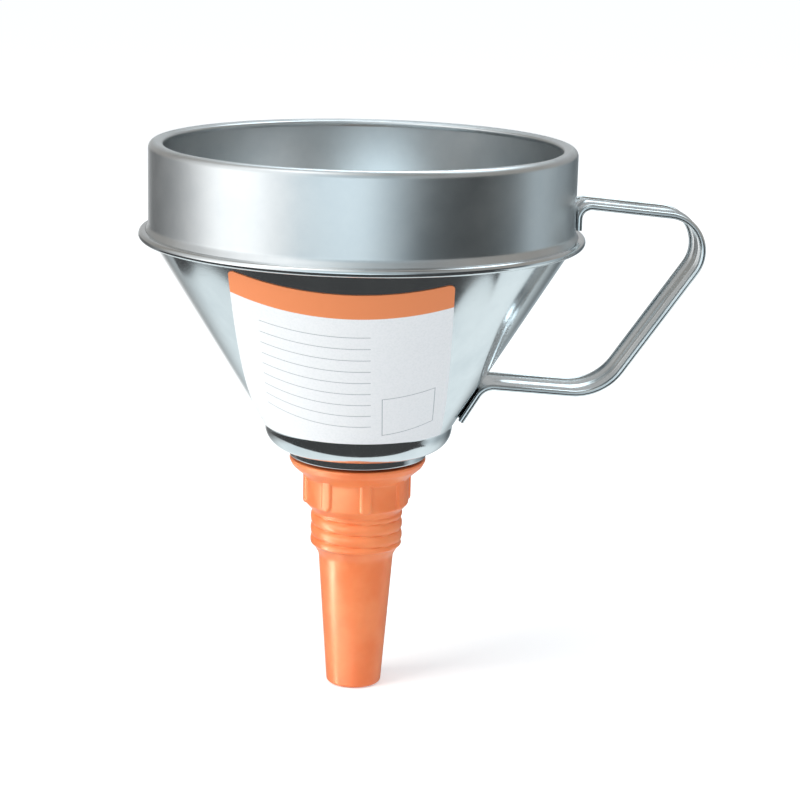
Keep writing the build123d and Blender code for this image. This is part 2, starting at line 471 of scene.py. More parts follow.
def sweep(
    name: str,
    section: Sequence[tuple[float, float]],
    parts: Sequence[Run | Bend],
    run_step: float,
    bend_step: float,
) -> bpy.types.Object:
    """Draws a closed section along a path in the plane of the handle.

    Args:
        name: The piece's name.
        section: Pairs of place across the plane and to the left of the path, in millimetres.
        parts: The path's runs and bends, in millimetres.
        run_step: Longest step along a run, in millimetres.
        bend_step: Largest step round a bend, in degrees.

    Returns:
        The closed solid, in object mode.
    """
    first = parts[0]
    ahead = (first.end - first.start).normalized()
    left = Vector((-ahead.y, ahead.x))
    ring = [
        Vector((mm(first.start.x + left.x * n), mm(y), mm(first.start.y + left.y * n)))
        for y, n in section
    ]
    piece = start_point(name, ring[0])
    draw_line(ring, closed=True)
    for part in parts:
        if isinstance(part, Run):
            count = max(1, math.ceil(part.length / run_step))
            stride = (part.end - part.start) / count
            for _ in range(count):
                bpy.ops.mesh.extrude_region_move(
                    TRANSFORM_OT_translate={"value": (mm(stride.x), 0, mm(stride.y))}
                )
        else:
            bpy.ops.mesh.spin(
                steps=max(2, math.ceil(abs(math.degrees(part.turn)) / bend_step)),
                angle=part.turn,
                center=(mm(part.centre.x), 0, mm(part.centre.y)),
                axis=(0, 1, 0),
            )
    bpy.ops.mesh.edge_face_add()
    bpy.ops.mesh.select_all(action="DESELECT")
    bpy.ops.mesh.select_mode(type="EDGE")
    bpy.ops.mesh.select_non_manifold(extend=False)
    bpy.ops.mesh.edge_face_add()
    bpy.ops.mesh.select_mode(type="VERT")
    bpy.ops.mesh.select_all(action="SELECT")
    bpy.ops.mesh.normals_make_consistent(inside=False)
    bpy.ops.object.mode_set(mode="OBJECT")
    return piece


def stand_for(piece: bpy.types.Object, body: str, slot: str, *nodes: str) -> None:
    """Puts a finished piece on its body and hides the CAD nodes that it stands for.

    Args:
        piece: The finished piece.
        body: The CAD body that it moves with.
        slot: The record's material slot; not used.
        nodes: CAD nodes that it stands for.
    """
    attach(piece, body)
    if nodes:
        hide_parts(*nodes)
    triangles = sum(len(f.vertices) - 2 for f in piece.data.polygons)
    log.info("%s: %d triangles on %s", piece.name, triangles, body)


# ------------------------------------------------------------------ finishes
class Finish:
    """A material made of nodes.  A finish's own class adds what its surface needs."""

    name: str

    def material(self) -> bpy.types.Material:
        """Makes the material.

        Returns:
            The material, with its nodes in place.
        """
        material = bpy.data.materials.new(self.name)
        material.use_nodes = True
        tree = material.node_tree
        tree.nodes.clear()
        shader = add_node(tree, "ShaderNodeBsdfPrincipled")
        add_node(tree, "ShaderNodeOutputMaterial", links={"Surface": shader.outputs["BSDF"]})
        self.dress(tree, shader)
        return material

    def dress(self, tree: bpy.types.NodeTree, shader: bpy.types.Node) -> None:
        """Sets the shader and adds the nodes of this finish."""
        raise NotImplementedError

    def put_on(self, piece: bpy.types.Object) -> None:
        """Gives the piece this finish all over."""
        piece.data.materials.clear()
        piece.data.materials.append(self.material())


@dataclass(frozen=True)
class Tinplate(Finish):
    """Sheet steel with a flowed tin coat.

    A tin coat is a cold, slightly yellow white.  Bright plate mirrors softly and shows
    the sheet's slow waves; satin plate was rolled with a matt roll and spreads what it
    mirrors.  Both keep the rolling's fine grain, a few rub marks and finger smears.  The
    grain is drawn at about half a millimetre, coarser than a real one, so that it shows.
    """

    name: str
    tint: str = "c6cbcc"
    shadow_tint: str = "b4babc"
    roughness: float = 0.1
    smear: float = 0.06
    smear_mm: float = 22.0
    rub_mm: float = 9.0
    rub: float = 0.09
    grain_mm: float = 0.6
    grain_depth_mm: float = 0.002
    wave_mm: float = 26.0
    wave_depth_mm: float = 0.02

    def dress(self, tree: bpy.types.NodeTree, shader: bpy.types.Node) -> None:
        """Rolled grain, slow waves and smeared roughness over a tin coat."""
        place = add_node(tree, "ShaderNodeTexCoord").outputs["Object"]
        smear = add_node(
            tree,
            "ShaderNodeTexNoise",
            {"Scale": 1 / mm(self.smear_mm), "Detail": 4.0, "Roughness": 0.6},
            {"Vector": place},
        )
        colour = add_ramp(
            tree, smear.outputs["Fac"], [(0.35, linear(self.shadow_tint)), (0.62, linear(self.tint))]
        )
        rough = add_node(
            tree,
            "ShaderNodeMapRange",
            {
                "From Min": 0.3,
                "From Max": 0.75,
                "To Min": self.roughness,
                "To Max": self.roughness + self.smear,
            },
            {"Value": smear.outputs["Fac"]},
        )
        flat = add_node(tree, "ShaderNodeMapping", {"Scale": (1, 1, 7)}, {"Vector": place})
        rub = add_node(
            tree,
            "ShaderNodeTexNoise",
            {"Scale": 1 / mm(self.rub_mm), "Detail": 5.0, "Roughness": 0.7, "Distortion": 0.4},
            {"Vector": flat.outputs["Vector"]},
        )
        rub_share = add_node(
            tree,
            "ShaderNodeMapRange",
            {"From Min": 0.6, "From Max": 0.85, "To Min": 0.0, "To Max": self.rub},
            {"Value": rub.outputs["Fac"]},
        )
        rougher = add_node(
            tree,
            "ShaderNodeMath",
            {"operation": "ADD"},
            {0: rough.outputs["Result"], 1: rub_share.outputs["Result"]},
        )
        waves = add_node(
            tree, "ShaderNodeTexNoise", {"Scale": 1 / mm(self.wave_mm), "Detail": 1.0}, {"Vector": place}
        )
        slow = add_node(
            tree,
            "ShaderNodeBump",
            {"Strength": 1.0, "Distance": mm(self.wave_depth_mm)},
            {"Height": waves.outputs["Fac"]},
        )
        grain = add_node(
            tree, "ShaderNodeTexNoise", {"Scale": 1 / mm(self.grain_mm), "Detail": 2.0}, {"Vector": place}
        )
        fine = add_node(
            tree,
            "ShaderNodeBump",
            {"Strength": 1.0, "Distance": mm(self.grain_depth_mm)},
            {"Height": grain.outputs["Fac"], "Normal": slow.outputs["Normal"]},
        )
        set_node(
            tree,
            shader,
            {"Metallic": 1.0},
            {
                "Base Color": colour.outputs["Color"],
                "Roughness": rougher.outputs["Value"],
                "Normal": fine.outputs["Normal"],
            },
        )


@dataclass(frozen=True)
class OrangePolyethylene(Finish):
    """Moulded low-density polyethylene, coloured through.

    It is waxy: light goes a little way in, so edges glow and the gloss is soft.  The
    mould's fine skin is drawn a little coarser than a real one, so that it shows.
    """

    name: str = "orange_polyethylene"
    body: str = "ee8049"
    pale: str = "f6945d"
    roughness: float = 0.34
    depth_mm: float = 1.2
    cloud_mm: float = 14.0
    skin_mm: float = 0.45
    skin_depth_mm: float = 0.006
    flow_mm: float = 6.0
    flow_depth_mm: float = 0.04

    def dress(self, tree: bpy.types.NodeTree, shader: bpy.types.Node) -> None:
        """A cloudy body colour, a fine mould texture and soft flow waves."""
        place = add_node(tree, "ShaderNodeTexCoord").outputs["Object"]
        cloud = add_node(
            tree, "ShaderNodeTexNoise", {"Scale": 1 / mm(self.cloud_mm), "Detail": 3.0}, {"Vector": place}
        )
        colour = add_ramp(tree, cloud.outputs["Fac"], [(0.35, linear(self.body)), (0.7, linear(self.pale))])
        skin = add_node(
            tree, "ShaderNodeTexNoise", {"Scale": 1 / mm(self.skin_mm), "Detail": 2.0}, {"Vector": place}
        )
        flow = add_node(
            tree, "ShaderNodeTexNoise", {"Scale": 1 / mm(self.flow_mm), "Detail": 1.0}, {"Vector": place}
        )
        slow = add_node(
            tree,
            "ShaderNodeBump",
            {"Strength": 1.0, "Distance": mm(self.flow_depth_mm)},
            {"Height": flow.outputs["Fac"]},
        )
        fine = add_node(
            tree,
            "ShaderNodeBump",
            {"Strength": 1.0, "Distance": mm(self.skin_depth_mm)},
            {"Height": skin.outputs["Fac"], "Normal": slow.outputs["Normal"]},
        )
        rough = add_node(
            tree,
            "ShaderNodeMapRange",
            {
                "From Min": 0.3,
                "From Max": 0.7,
                "To Min": self.roughness - 0.04,
                "To Max": self.roughness + 0.05,
            },
            {"Value": cloud.outputs["Fac"]},
        )
        set_node(
            tree,
            shader,
            {
                "IOR": 1.51,
                "Subsurface Weight": 0.25,
                "Subsurface Radius": (1.0, 0.35, 0.15),
                "Subsurface Scale": mm(self.depth_mm),
            },
            {
                "Base Color": colour.outputs["Color"],
                "Roughness": rough.outputs["Result"],
                "Normal": fine.outputs["Normal"],
            },
        )


@dataclass(frozen=True)
class Brass(Finish):
    """Drawn brass wire, slightly tarnished where it is never rubbed."""

    name: str
    bright: str = "c9a557"
    dull: str = "94733a"
    roughness: float = 0.28
    tarnish_mm: float = 7.0
    die_mm: float = 0.35
    die_depth_mm: float = 0.004

    def dress(self, tree: bpy.types.NodeTree, shader: bpy.types.Node) -> None:
        """Tarnish in patches and the fine lines of the drawing die."""
        place = add_node(tree, "ShaderNodeTexCoord").outputs["Object"]
        tarnish = add_node(
            tree, "ShaderNodeTexNoise", {"Scale": 1 / mm(self.tarnish_mm), "Detail": 4.0}, {"Vector": place}
        )
        colour = add_ramp(
            tree, tarnish.outputs["Fac"], [(0.3, linear(self.dull)), (0.6, linear(self.bright))]
        )
        rough = add_node(
            tree,
            "ShaderNodeMapRange",
            {"From Min": 0.3, "From Max": 0.7, "To Min": self.roughness + 0.14, "To Max": self.roughness},
            {"Value": tarnish.outputs["Fac"]},
        )
        die = add_node(
            tree, "ShaderNodeTexNoise", {"Scale": 1 / mm(self.die_mm), "Detail": 1.0}, {"Vector": place}
        )
        lines = add_node(
            tree,
            "ShaderNodeBump",
            {"Strength": 1.0, "Distance": mm(self.die_depth_mm)},
            {"Height": die.outputs["Fac"]},
        )
        set_node(
            tree,
            shader,
            {"Metallic": 1.0},
            {
                "Base Color": colour.outputs["Color"],
                "Roughness": rough.outputs["Result"],
                "Normal": lines.outputs["Normal"],
            },
        )


@dataclass(frozen=True)
class CoatedPaper(Finish):
    """White coated label paper with an orange printed band and plain ruled lines.

    Distances are read from the piece's own sheet map, which is in millimetres across
    and up the paper before it was wrapped.
    """

    name: str = "coated_paper"
    white: str = "f3f5f7"
    shaded_white: str = "eceff1"
    band: str = "f28f58"
    ink: str = "aab0b6"
    roughness: float = 0.42
    top_mm: float = 143.6
    band_mm: float = 11.2
    line_left_mm: float = -35.0
    line_right_mm: float = 6.0
    first_line_mm: float = 20.0
    line_pitch_mm: float = 5.6
    line_count: int = 9
    line_width_mm: float = 0.32
    box_left_mm: float = 10.0
    box_right_mm: float = 30.5
    box_top_mm: float = 51.0
    box_foot_mm: float = 70.0
    fibre_mm: float = 0.8
    fibre_depth_mm: float = 0.008
    crease_mm: float = 17.0
    crease_depth_mm: float = 0.12

    def dress(self, tree: bpy.types.NodeTree, shader: bpy.types.Node) -> None:
        """Band, ruled lines and an empty box, printed on slightly uneven paper."""
        uv = add_node(tree, "ShaderNodeUVMap", {"uv_map": "sheet_mm"})
        split = add_node(tree, "ShaderNodeSeparateXYZ", links={"Vector": uv.outputs["UV"]})
        across = split.outputs["X"]
        below = add_node(
            tree, "ShaderNodeMath", {"operation": "SUBTRACT", 0: self.top_mm}, {1: split.outputs["Y"]}
        ).outputs["Value"]

        def calc(operation: str, *values: Any) -> bpy.types.NodeSocket:
            """One sum on numbers or outputs."""
            settings: dict[str | int, Any] = {"operation": operation}
            links: dict[str | int, bpy.types.NodeSocket] = {}
            for index, value in enumerate(values):
                if isinstance(value, bpy.types.NodeSocket):
                    links[index] = value
                else:
                    settings[index] = value
            return add_node(tree, "ShaderNodeMath", settings, links).outputs["Value"]

        def between(value: Any, low: float, high: float) -> bpy.types.NodeSocket:
            """1 where a value lies between two limits."""
            return calc("MULTIPLY", calc("GREATER_THAN", value, low), calc("LESS_THAN", value, high))

        half_pitch = self.line_pitch_mm / 2
        band = calc("LESS_THAN", below, self.band_mm)
        rows = between(
            below,
            self.first_line_mm - half_pitch,
            self.first_line_mm + (self.line_count - 0.5) * self.line_pitch_mm,
        )
        phase = calc(
            "ABSOLUTE", calc("WRAP", calc("SUBTRACT", below, self.first_line_mm), half_pitch, -half_pitch)
        )
        ruled = calc(
            "MULTIPLY",
            calc("MULTIPLY", rows, calc("LESS_THAN", phase, self.line_width_mm / 2)),
            between(across, self.line_left_mm, self.line_right_mm),
        )
        edge = self.line_width_mm
        outer = calc(
            "MULTIPLY",
            between(across, self.box_left_mm, self.box_right_mm),
            between(below, self.box_top_mm, self.box_foot_mm),
        )
        inner = calc(
            "MULTIPLY",
            between(across, self.box_left_mm + edge, self.box_right_mm - edge),
            between(below, self.box_top_mm + edge, self.box_foot_mm - edge),
        )
        inked = calc("MAXIMUM", ruled, calc("SUBTRACT", outer, inner))
        place = add_node(tree, "ShaderNodeTexCoord").outputs["Object"]
        fibre = add_node(
            tree, "ShaderNodeTexNoise", {"Scale": 1 / mm(self.fibre_mm), "Detail": 3.0}, {"Vector": place}
        )
        crease = add_node(
            tree, "ShaderNodeTexNoise", {"Scale": 1 / mm(self.crease_mm), "Detail": 2.0}, {"Vector": place}
        )
        paper = add_ramp(
            tree, fibre.outputs["Fac"], [(0.3, linear(self.shaded_white)), (0.6, linear(self.white))]
        )
        banded = add_node(
            tree,
            "ShaderNodeMix",
            {"data_type": "RGBA", 7: linear(self.band)},
            {0: band, 6: paper.outputs["Color"]},
        )
        printed = add_node(
            tree,
            "ShaderNodeMix",
            {"data_type": "RGBA", 7: linear(self.ink)},
            {0: inked, 6: banded.outputs[2]},
        )
        slow = add_node(
            tree,
            "ShaderNodeBump",
            {"Strength": 1.0, "Distance": mm(self.crease_depth_mm)},
            {"Height": crease.outputs["Fac"]},
        )
        fine = add_node(
            tree,
            "ShaderNodeBump",
            {"Strength": 1.0, "Distance": mm(self.fibre_depth_mm)},
            {"Height": fibre.outputs["Fac"], "Normal": slow.outputs["Normal"]},
        )
        set_node(
            tree,
            shader,
            {"Roughness": self.roughness},
            {"Base Color": printed.outputs[2], "Normal": fine.outputs["Normal"]},
        )


BRIGHT_PLATE = Tinplate(
    "bright_tinplate", tint="e3e6e7", shadow_tint="d8dcde", roughness=0.09, smear=0.07
)
SATIN_PLATE = Tinplate(
    "satin_tinplate",
    tint="dde0e1",
    shadow_tint="d3d7d9",
    roughness=0.285,
    smear=0.05,
    grain_mm=0.5,
    grain_depth_mm=0.004,
    wave_depth_mm=0.012,
)
HANDLE_PLATE = Tinplate(
    "handle_tinplate", tint="dfe3e4", shadow_tint="d0d5d7", roughness=0.16, smear=0.08, wave_mm=9.0
)
WOVEN_BRASS = Brass("woven_brass")
WIRE_BRASS = Brass("drawn_brass", roughness=0.22)


# ------------------------------------------------------------------ bowl and collar
def node_top(node: str) -> float:
    """Highest point of a CAD node, in millimetres."""
    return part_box(node)[1].z * 1000


def node_foot(node: str) -> float:
    """Lowest point of a CAD node, in millimetres."""
    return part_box(node)[0].z * 1000


@dataclass
class Bowl:
    """The pressed bowl: neck, seat, shoulder, step, cone and the rolled seam at its edge."""

    sheet: float = 0.45
    neck_radius: float = 17.85
    neck_length: float = 11.3
    neck_bend: float = 1.5
    seat_radius: float = 26.5
    seat_depth: float = 3.2
    seat_slope: float = 0.3
    seat_foot_bend: float = 0.7
    seat_edge_bend: float = 0.5
    step_radius: float = 35.0
    step_height: float = 12.7
    shoulder: float = 8.4
    cone_foot_radius: float = 36.19
    cone_foot_bend: float = 2.5
    cone_top_radius: float = 79.4
    seam_bend: float = 1.0
    seam_bead: float = 1.6
    seam_reach: float = 83.9
    fold_end: float = 81.15
    steps: int = 288
    finish: Finish = BRIGHT_PLATE
    floor: float = field(init=False)
    cone_foot: float = field(init=False)
    seam_under: float = field(init=False)

    def __post_init__(self) -> None:
        """Takes the heights from the CAD node."""
        self.floor = node_foot("funnel_bowl") + self.neck_length
        self.cone_foot = self.floor + self.step_height
        self.seam_under = node_top("funnel_bowl") - 2 * self.seam_bead

    @property
    def cone_run(self) -> float:
        """Radius that the cone gains for each millimetre of height."""
        return (self.cone_top_radius - self.cone_foot_radius) / (self.seam_under - self.cone_foot)

    def cone_radius(self, height: float) -> float:
        """Outer radius of the cone at a height."""
        return self.cone_foot_radius + (height - self.cone_foot) * self.cone_run

    def build(self) -> bpy.types.Object:
        """Turns the outside line and gives it the sheet's thickness inwards."""
        centre = (self.seam_reach - self.seam_bead, self.seam_under + self.seam_bead)
        line = outline_points(
            [
                Corner(self.neck_radius, self.floor - self.neck_length),
                Corner(self.neck_radius, self.floor, self.neck_bend),
                Corner(self.seat_radius, self.floor, self.seat_foot_bend),
                Corner(self.seat_radius + self.seat_slope, self.floor + self.seat_depth, self.seat_edge_bend),
                Corner(self.step_radius, self.floor + self.seat_depth, self.shoulder),
                Corner(self.cone_foot_radius, self.cone_foot, self.cone_foot_bend, 6.0),
                Corner(self.cone_top_radius, self.seam_under, self.seam_bend),
                Corner(centre[0], self.seam_under),
            ]
        )
        line += arc_points(centre, self.seam_bead, -90, 180, 14)
        line.append((self.fold_end, self.seam_under + 2 * self.seam_bead))
        middle = (self.cone_foot + self.seam_under) / 2
        side = (self.cone_radius(middle), middle, 1, -0.6)
        bowl = lathe("funnel_bowl_skin", line, self.steps, looks=side)
        give_sheet(bowl, self.sheet)
        shade(bowl)
        self.finish.put_on(bowl)
        stand_for(bowl, "funnel", "bright_tinplate", "funnel_bowl")
        return bowl


@dataclass
class Collar:
    """The splash collar: a rolled rim over an upright wall with a flared foot."""

    bowl: Bowl
    radius: float = 80.0
    rim_width: float = 5.9
    rim_drop: float = 2.8
    rim_fall: float = 0.5
    rim_corner: float = 2.6
    crest_in: float = 2.6
    crest_bend: float = 1.6
    lip_fall: float = 0.9
    lip_curl: float = 0.9
    lip_corner: float = 1.0
    flare_width: float = 1.1
    flare_height: float = 4.4
    wall_bend: float = 2.5
    flare_bend: float = 1.0
    foot_bend: float = 0.6
    play: float = 0.05
    steps: int = 288
    finish: Finish = SATIN_PLATE

    def build(self) -> bpy.types.Object:
        """Turns the outside line from the lip over the rim and down to the foot."""
        top = node_top("splash_collar")
        foot = self.bowl.seam_under + 2 * self.bowl.sheet + self.play
        lip = self.radius - self.rim_width
        line = outline_points(
            [
                Corner(lip + self.lip_curl, top - self.rim_drop),
                Corner(lip, top - self.lip_fall, self.lip_corner),
                Corner(self.radius - self.crest_in, top, self.crest_bend),
                Corner(self.radius, top - self.rim_fall, self.rim_corner),
                Corner(self.radius, foot + self.flare_height, self.wall_bend),
                Corner(self.radius + self.flare_width, foot + self.flare_height / 2, self.flare_bend),
                Corner(self.radius + self.flare_width, foot, self.foot_bend),
                Corner(self.bowl.seam_reach - self.bowl.seam_bead, foot),
            ]
        )
        middle = (top + foot) / 2
        collar = lathe("splash_collar_skin", line, self.steps, looks=(self.radius, middle, 1, 0))
        give_sheet(collar, self.bowl.sheet)
        shade(collar)
        self.finish.put_on(collar)
        stand_for(collar, "funnel", "satin_tinplate", "splash_collar")
        return collar


# ------------------------------------------------------------------ strip handle
@dataclass
class StripHandle:
    """One hemmed strip: a tab on the collar, upper arm, leaning grip, lower arm and foot."""

    bowl: Bowl
    collar: Collar
    width: float = 24.0
    strip: float = 0.9
    hem: float = 1.15
    rib_half_width: float = 3.6
    rib_rise: float = 1.0
    weld_play: float = 0.05
    tab_end_below_rim: float = 30.4
    arm_below_rim: float = 21.1
    arm_fall: float = 5.4
    reach: float = 127.8
    grip_lean: float = 34.8
    lower_arm_rise: float = 3.8
    lower_arm_below_rim: float = 90.6
    foot_end_below_rim: float = 104.4
    tab_bend: float = 4.6
    outer_bend: float = 13.8
    lower_bend: float = 21.0
    foot_bend: float = 7.0
    rib_from_collar: float = 2.2
    rib_from_cone: float = 6.0
    fade: float = 5.0
    web_points: int = 22
    hem_points: int = 16
    run_step: float = 2.2
    bend_step: float = 6.0
    finish: Finish = HANDLE_PLATE

    def corners(self) -> list[Corner]:
        """Corners of the strip's middle line, from the tab's end to the foot's end."""
        rim = node_top("splash_collar")
        slant = math.cos(math.atan(self.bowl.cone_run))
        wall = self.collar.radius + self.weld_play + self.strip / 2
        off_cone = (self.weld_play + self.strip / 2) / slant
        arm = rim - self.arm_below_rim
        fall, lean, rise = (math.radians(a) for a in (self.arm_fall, self.grip_lean, self.lower_arm_rise))
        turn = math.pi / 2 - fall + lean
        outer_x = (
            self.reach
            - self.outer_bend
            + self.outer_bend * math.sin(fall)
            + self.outer_bend * math.tan(turn / 2) * math.cos(fall)
        )
        outer_z = arm - (outer_x - wall) * math.tan(fall)
        foot_z = rim - self.lower_arm_below_rim
        foot_x = self.bowl.cone_radius(foot_z) + off_cone
        lean_run, rise_run = math.tan(lean), math.tan(rise)
        drop = (outer_x - foot_x - lean_run * (outer_z - foot_z)) * rise_run / (1 - lean_run * rise_run)
        end_z = rim - self.foot_end_below_rim
        return [
            Corner(wall, rim - self.tab_end_below_rim),
            Corner(wall, arm, self.tab_bend),
            Corner(outer_x, outer_z, self.outer_bend),
            Corner(outer_x - lean_run * (outer_z - foot_z + drop), foot_z - drop, self.lower_bend),
            Corner(foot_x, foot_z, self.foot_bend),
            Corner(self.bowl.cone_radius(end_z) + off_cone, end_z),
        ]

    def rib(self, across: float) -> float:
        """Rise of the strip's middle rib at a place across it."""
        if abs(across) >= self.rib_half_width:
            return 0.0
        return self.rib_rise * (0.5 + 0.5 * math.cos(math.pi * across / self.rib_half_width))

    def section(self) -> list[tuple[float, float]]:
        """The closed section: a rolled hem at each edge and a rib along the middle."""
        half = self.strip / 2
        centre = self.width / 2 - self.hem
        opening = math.degrees(math.asin(half / self.hem))
        web = centre - self.hem * math.cos(math.radians(opening))
        across = [-web + 2 * web * k / self.web_points for k in range(self.web_points + 1)]
        turn = -(360 - 2 * opening)
        points = [(y, self.rib(y) + half) for y in across]
        points += arc_points((centre, 0), self.hem, 180 - opening, turn, self.hem_points)[:-1]
        points += [(y, self.rib(y) - half) for y in reversed(across)]
        points += arc_points((-centre, 0), self.hem, -opening, turn, self.hem_points)[:-1]
        return points

    def press_flat(
        self, handle: bpy.types.Object, parts: Sequence[Run | Bend], wall: float, cone: float
    ) -> None:
        """Presses the rib flat where the strip lies on the collar and on the cone.

        Args:
            handle: The swept strip.
            parts: Its path.
            wall: Distance from the axis where the rib begins, in millimetres.
            cone: Distance from the axis where it ends, on the lower arm.
        """

        def nearest(place: Vector) -> tuple[Vector, Vector]:
            """The path's nearest point, and the way to its left there."""
            best: tuple[float, Vector, Vector] | None = None
            for part in parts:
                if isinstance(part, Run):
                    ahead = (part.end - part.start).normalized()
                    along = min(part.length, max(0.0, (place - part.start).dot(ahead)))
                    foot = part.start + ahead * along
                    left = Vector((-ahead.y, ahead.x))
                else:
                    out = (place - part.centre).normalized()
                    first = (part.start - part.centre).normalized()
                    angle = math.atan2(first.x * out.y - first.y * out.x, first.dot(out))
                    if not -1e-6 <= angle / part.turn <= 1 + 1e-6:
                        continue
                    foot = part.centre + out * part.radius
                    left = -out if part.turn > 0 else out
                gap = (place - foot).length
                if best is None or gap < best[0]:
                    best = (gap, foot, left)
            return best[1], best[2]

        lower = node_top("splash_collar") - (self.tab_end_below_rim + self.lower_arm_below_rim) / 2

        def press(point: Vector) -> Vector:
            """Where one point of the strip goes."""
            rib = self.rib(point.y * 1000)
            if rib == 0.0:
                return point
            place = Vector((point.x, point.z)) * 1000
            foot, left = nearest(place)
            start = wall if foot.y > lower else cone
            pressed = place - left * rib * (1 - smooth_step(start, start + self.fade, foot.x))
            return Vector((mm(pressed.x), point.y, mm(pressed.y)))

        move_points(handle, press)

    def build(self) -> bpy.types.Object:
        """Sweeps the section along the strip's line and presses the rib flat at its ends."""
        parts = path_parts(self.corners())
        handle = sweep("handle_strip", self.section(), parts, self.run_step, self.bend_step)
        foot_bend = self.corners()[4]
        self.press_flat(
            handle,
            parts,
            self.collar.radius + self.rib_from_collar - self.fade / 2,
            foot_bend.x + self.rib_from_cone - self.fade / 2,
        )
        shade(handle, 45)
        self.finish.put_on(handle)
        stand_for(handle, "funnel", "bright_tinplate", "handle")
        return handle


# ------------------------------------------------------------------ paper label
@dataclass
class PaperLabel:
    """A rectangle of label paper wrapped round the cone, trimmed along the cone's foot.

    Flat places are across the sheet from the line at azimuth, and along it from the
    point where the cone's sides would meet.
    """

    bowl: Bowl
    azimuth: float = -95.0
    left: float = -46.3
    right: float = 36.0
    top: float = 143.6
    corner: float = 2.6
    corner_segments: int = 8
    foot_clear: float = 0.3
    thickness: float = 0.12
    clearance: float = 0.12
    cell: float = 2.0
    probe_radius: float = 60.0
    probe_height: float = 90.0
    finish: Finish = field(default_factory=CoatedPaper)

    def build(self) -> bpy.types.Object:
        """Cuts the sheet, rounds its top corners, cross-cuts it and wraps it."""
        lean = math.atan(self.bowl.cone_run)
        apex = self.bowl.cone_foot - self.bowl.cone_foot_radius / self.bowl.cone_run
        foot_slant = (self.bowl.cone_foot + self.foot_clear - apex) / math.cos(lean)
        low = foot_slant * math.cos(math.asin(-self.left / foot_slant))
        width, height = self.right - self.left, self.top - low
        deselect_all()
        bpy.ops.mesh.primitive_plane_add(size=1)
        label = bpy.context.object
        label.name = label.data.name = "paper_label"
        bpy.ops.object.mode_set(mode="EDIT")
        bpy.ops.mesh.select_all(action="SELECT")
        bpy.ops.transform.resize(value=(mm(width), mm(height), 1))
        bpy.ops.transform.translate(value=(mm(self.left + width / 2), mm(self.top - height / 2), 0))
        bpy.ops.mesh.select_all(action="DESELECT")
        bpy.ops.object.mode_set(mode="OBJECT")
        for vertex in label.data.vertices:
            vertex.select = vertex.co.y > mm(self.top) - JOIN
        bpy.ops.object.mode_set(mode="EDIT")
        bpy.ops.mesh.select_mode(type="VERT")
        bpy.ops.mesh.bevel(offset=mm(self.corner), segments=self.corner_segments, affect="VERTICES")
        for axis, start, length in ((0, self.left, width), (1, low, height)):
            for index in range(1, int(length / self.cell)):
                place, normal = [0.0, 0.0, 0.0], [0.0, 0.0, 0.0]
                place[axis] = mm(start + index * self.cell)
                normal[axis] = 1.0
                bpy.ops.mesh.select_all(action="SELECT")
                bpy.ops.mesh.bisect(plane_co=place, plane_no=normal)
        bpy.ops.object.mode_set(mode="OBJECT")

        def trim(point: Vector) -> Vector:
            """Draws the sheet's lower edge up to the cone's foot."""
            share = (mm(self.top) - point.y) / mm(height)
            foot = math.sqrt(foot_slant**2 - (point.x * 1000) ** 2)
            return Vector((point.x, mm(self.top + (foot - self.top) * share), 0))

        move_points(label, trim)
        sheet = label.data.uv_layers[0] if label.data.uv_layers else label.data.uv_layers.new()
        sheet.name = "sheet_mm"
        for loop in label.data.loops:
            place = label.data.vertices[loop.vertex_index].co
            sheet.data[loop.index].uv = (place.x * 1000, place.y * 1000)

        def wrap(point: Vector) -> Vector:
            """Wraps a point of the flat sheet round the cone."""
            slant = math.hypot(point.x, point.y) * 1000
            angle = math.radians(self.azimuth) + math.atan2(point.x, point.y) / math.sin(lean)
            radius = slant * math.sin(lean) + self.clearance * math.cos(lean)
            rise = apex + slant * math.cos(lean) - self.clearance * math.sin(lean)
            return Vector((mm(radius * math.cos(angle)), mm(radius * math.sin(angle)), mm(rise)))

        move_points(label, wrap)
        activate(label)
        bpy.ops.object.mode_set(mode="EDIT")
        out = math.radians(self.azimuth)
        face_outwards(
            label,
            Vector(
                (
                    mm(self.probe_radius * math.cos(out)),
                    mm(self.probe_radius * math.sin(out)),
                    mm(self.probe_height),
                )
            ),
            Vector((math.cos(out), math.sin(out), -0.6)),
        )
        bpy.ops.object.mode_set(mode="OBJECT")
        give_sheet(label, self.thickness, offset=1.0)
        shade(label, 50)
        self.finish.put_on(label)
        stand_for(label, "funnel", "label_paper", "label")
        return label


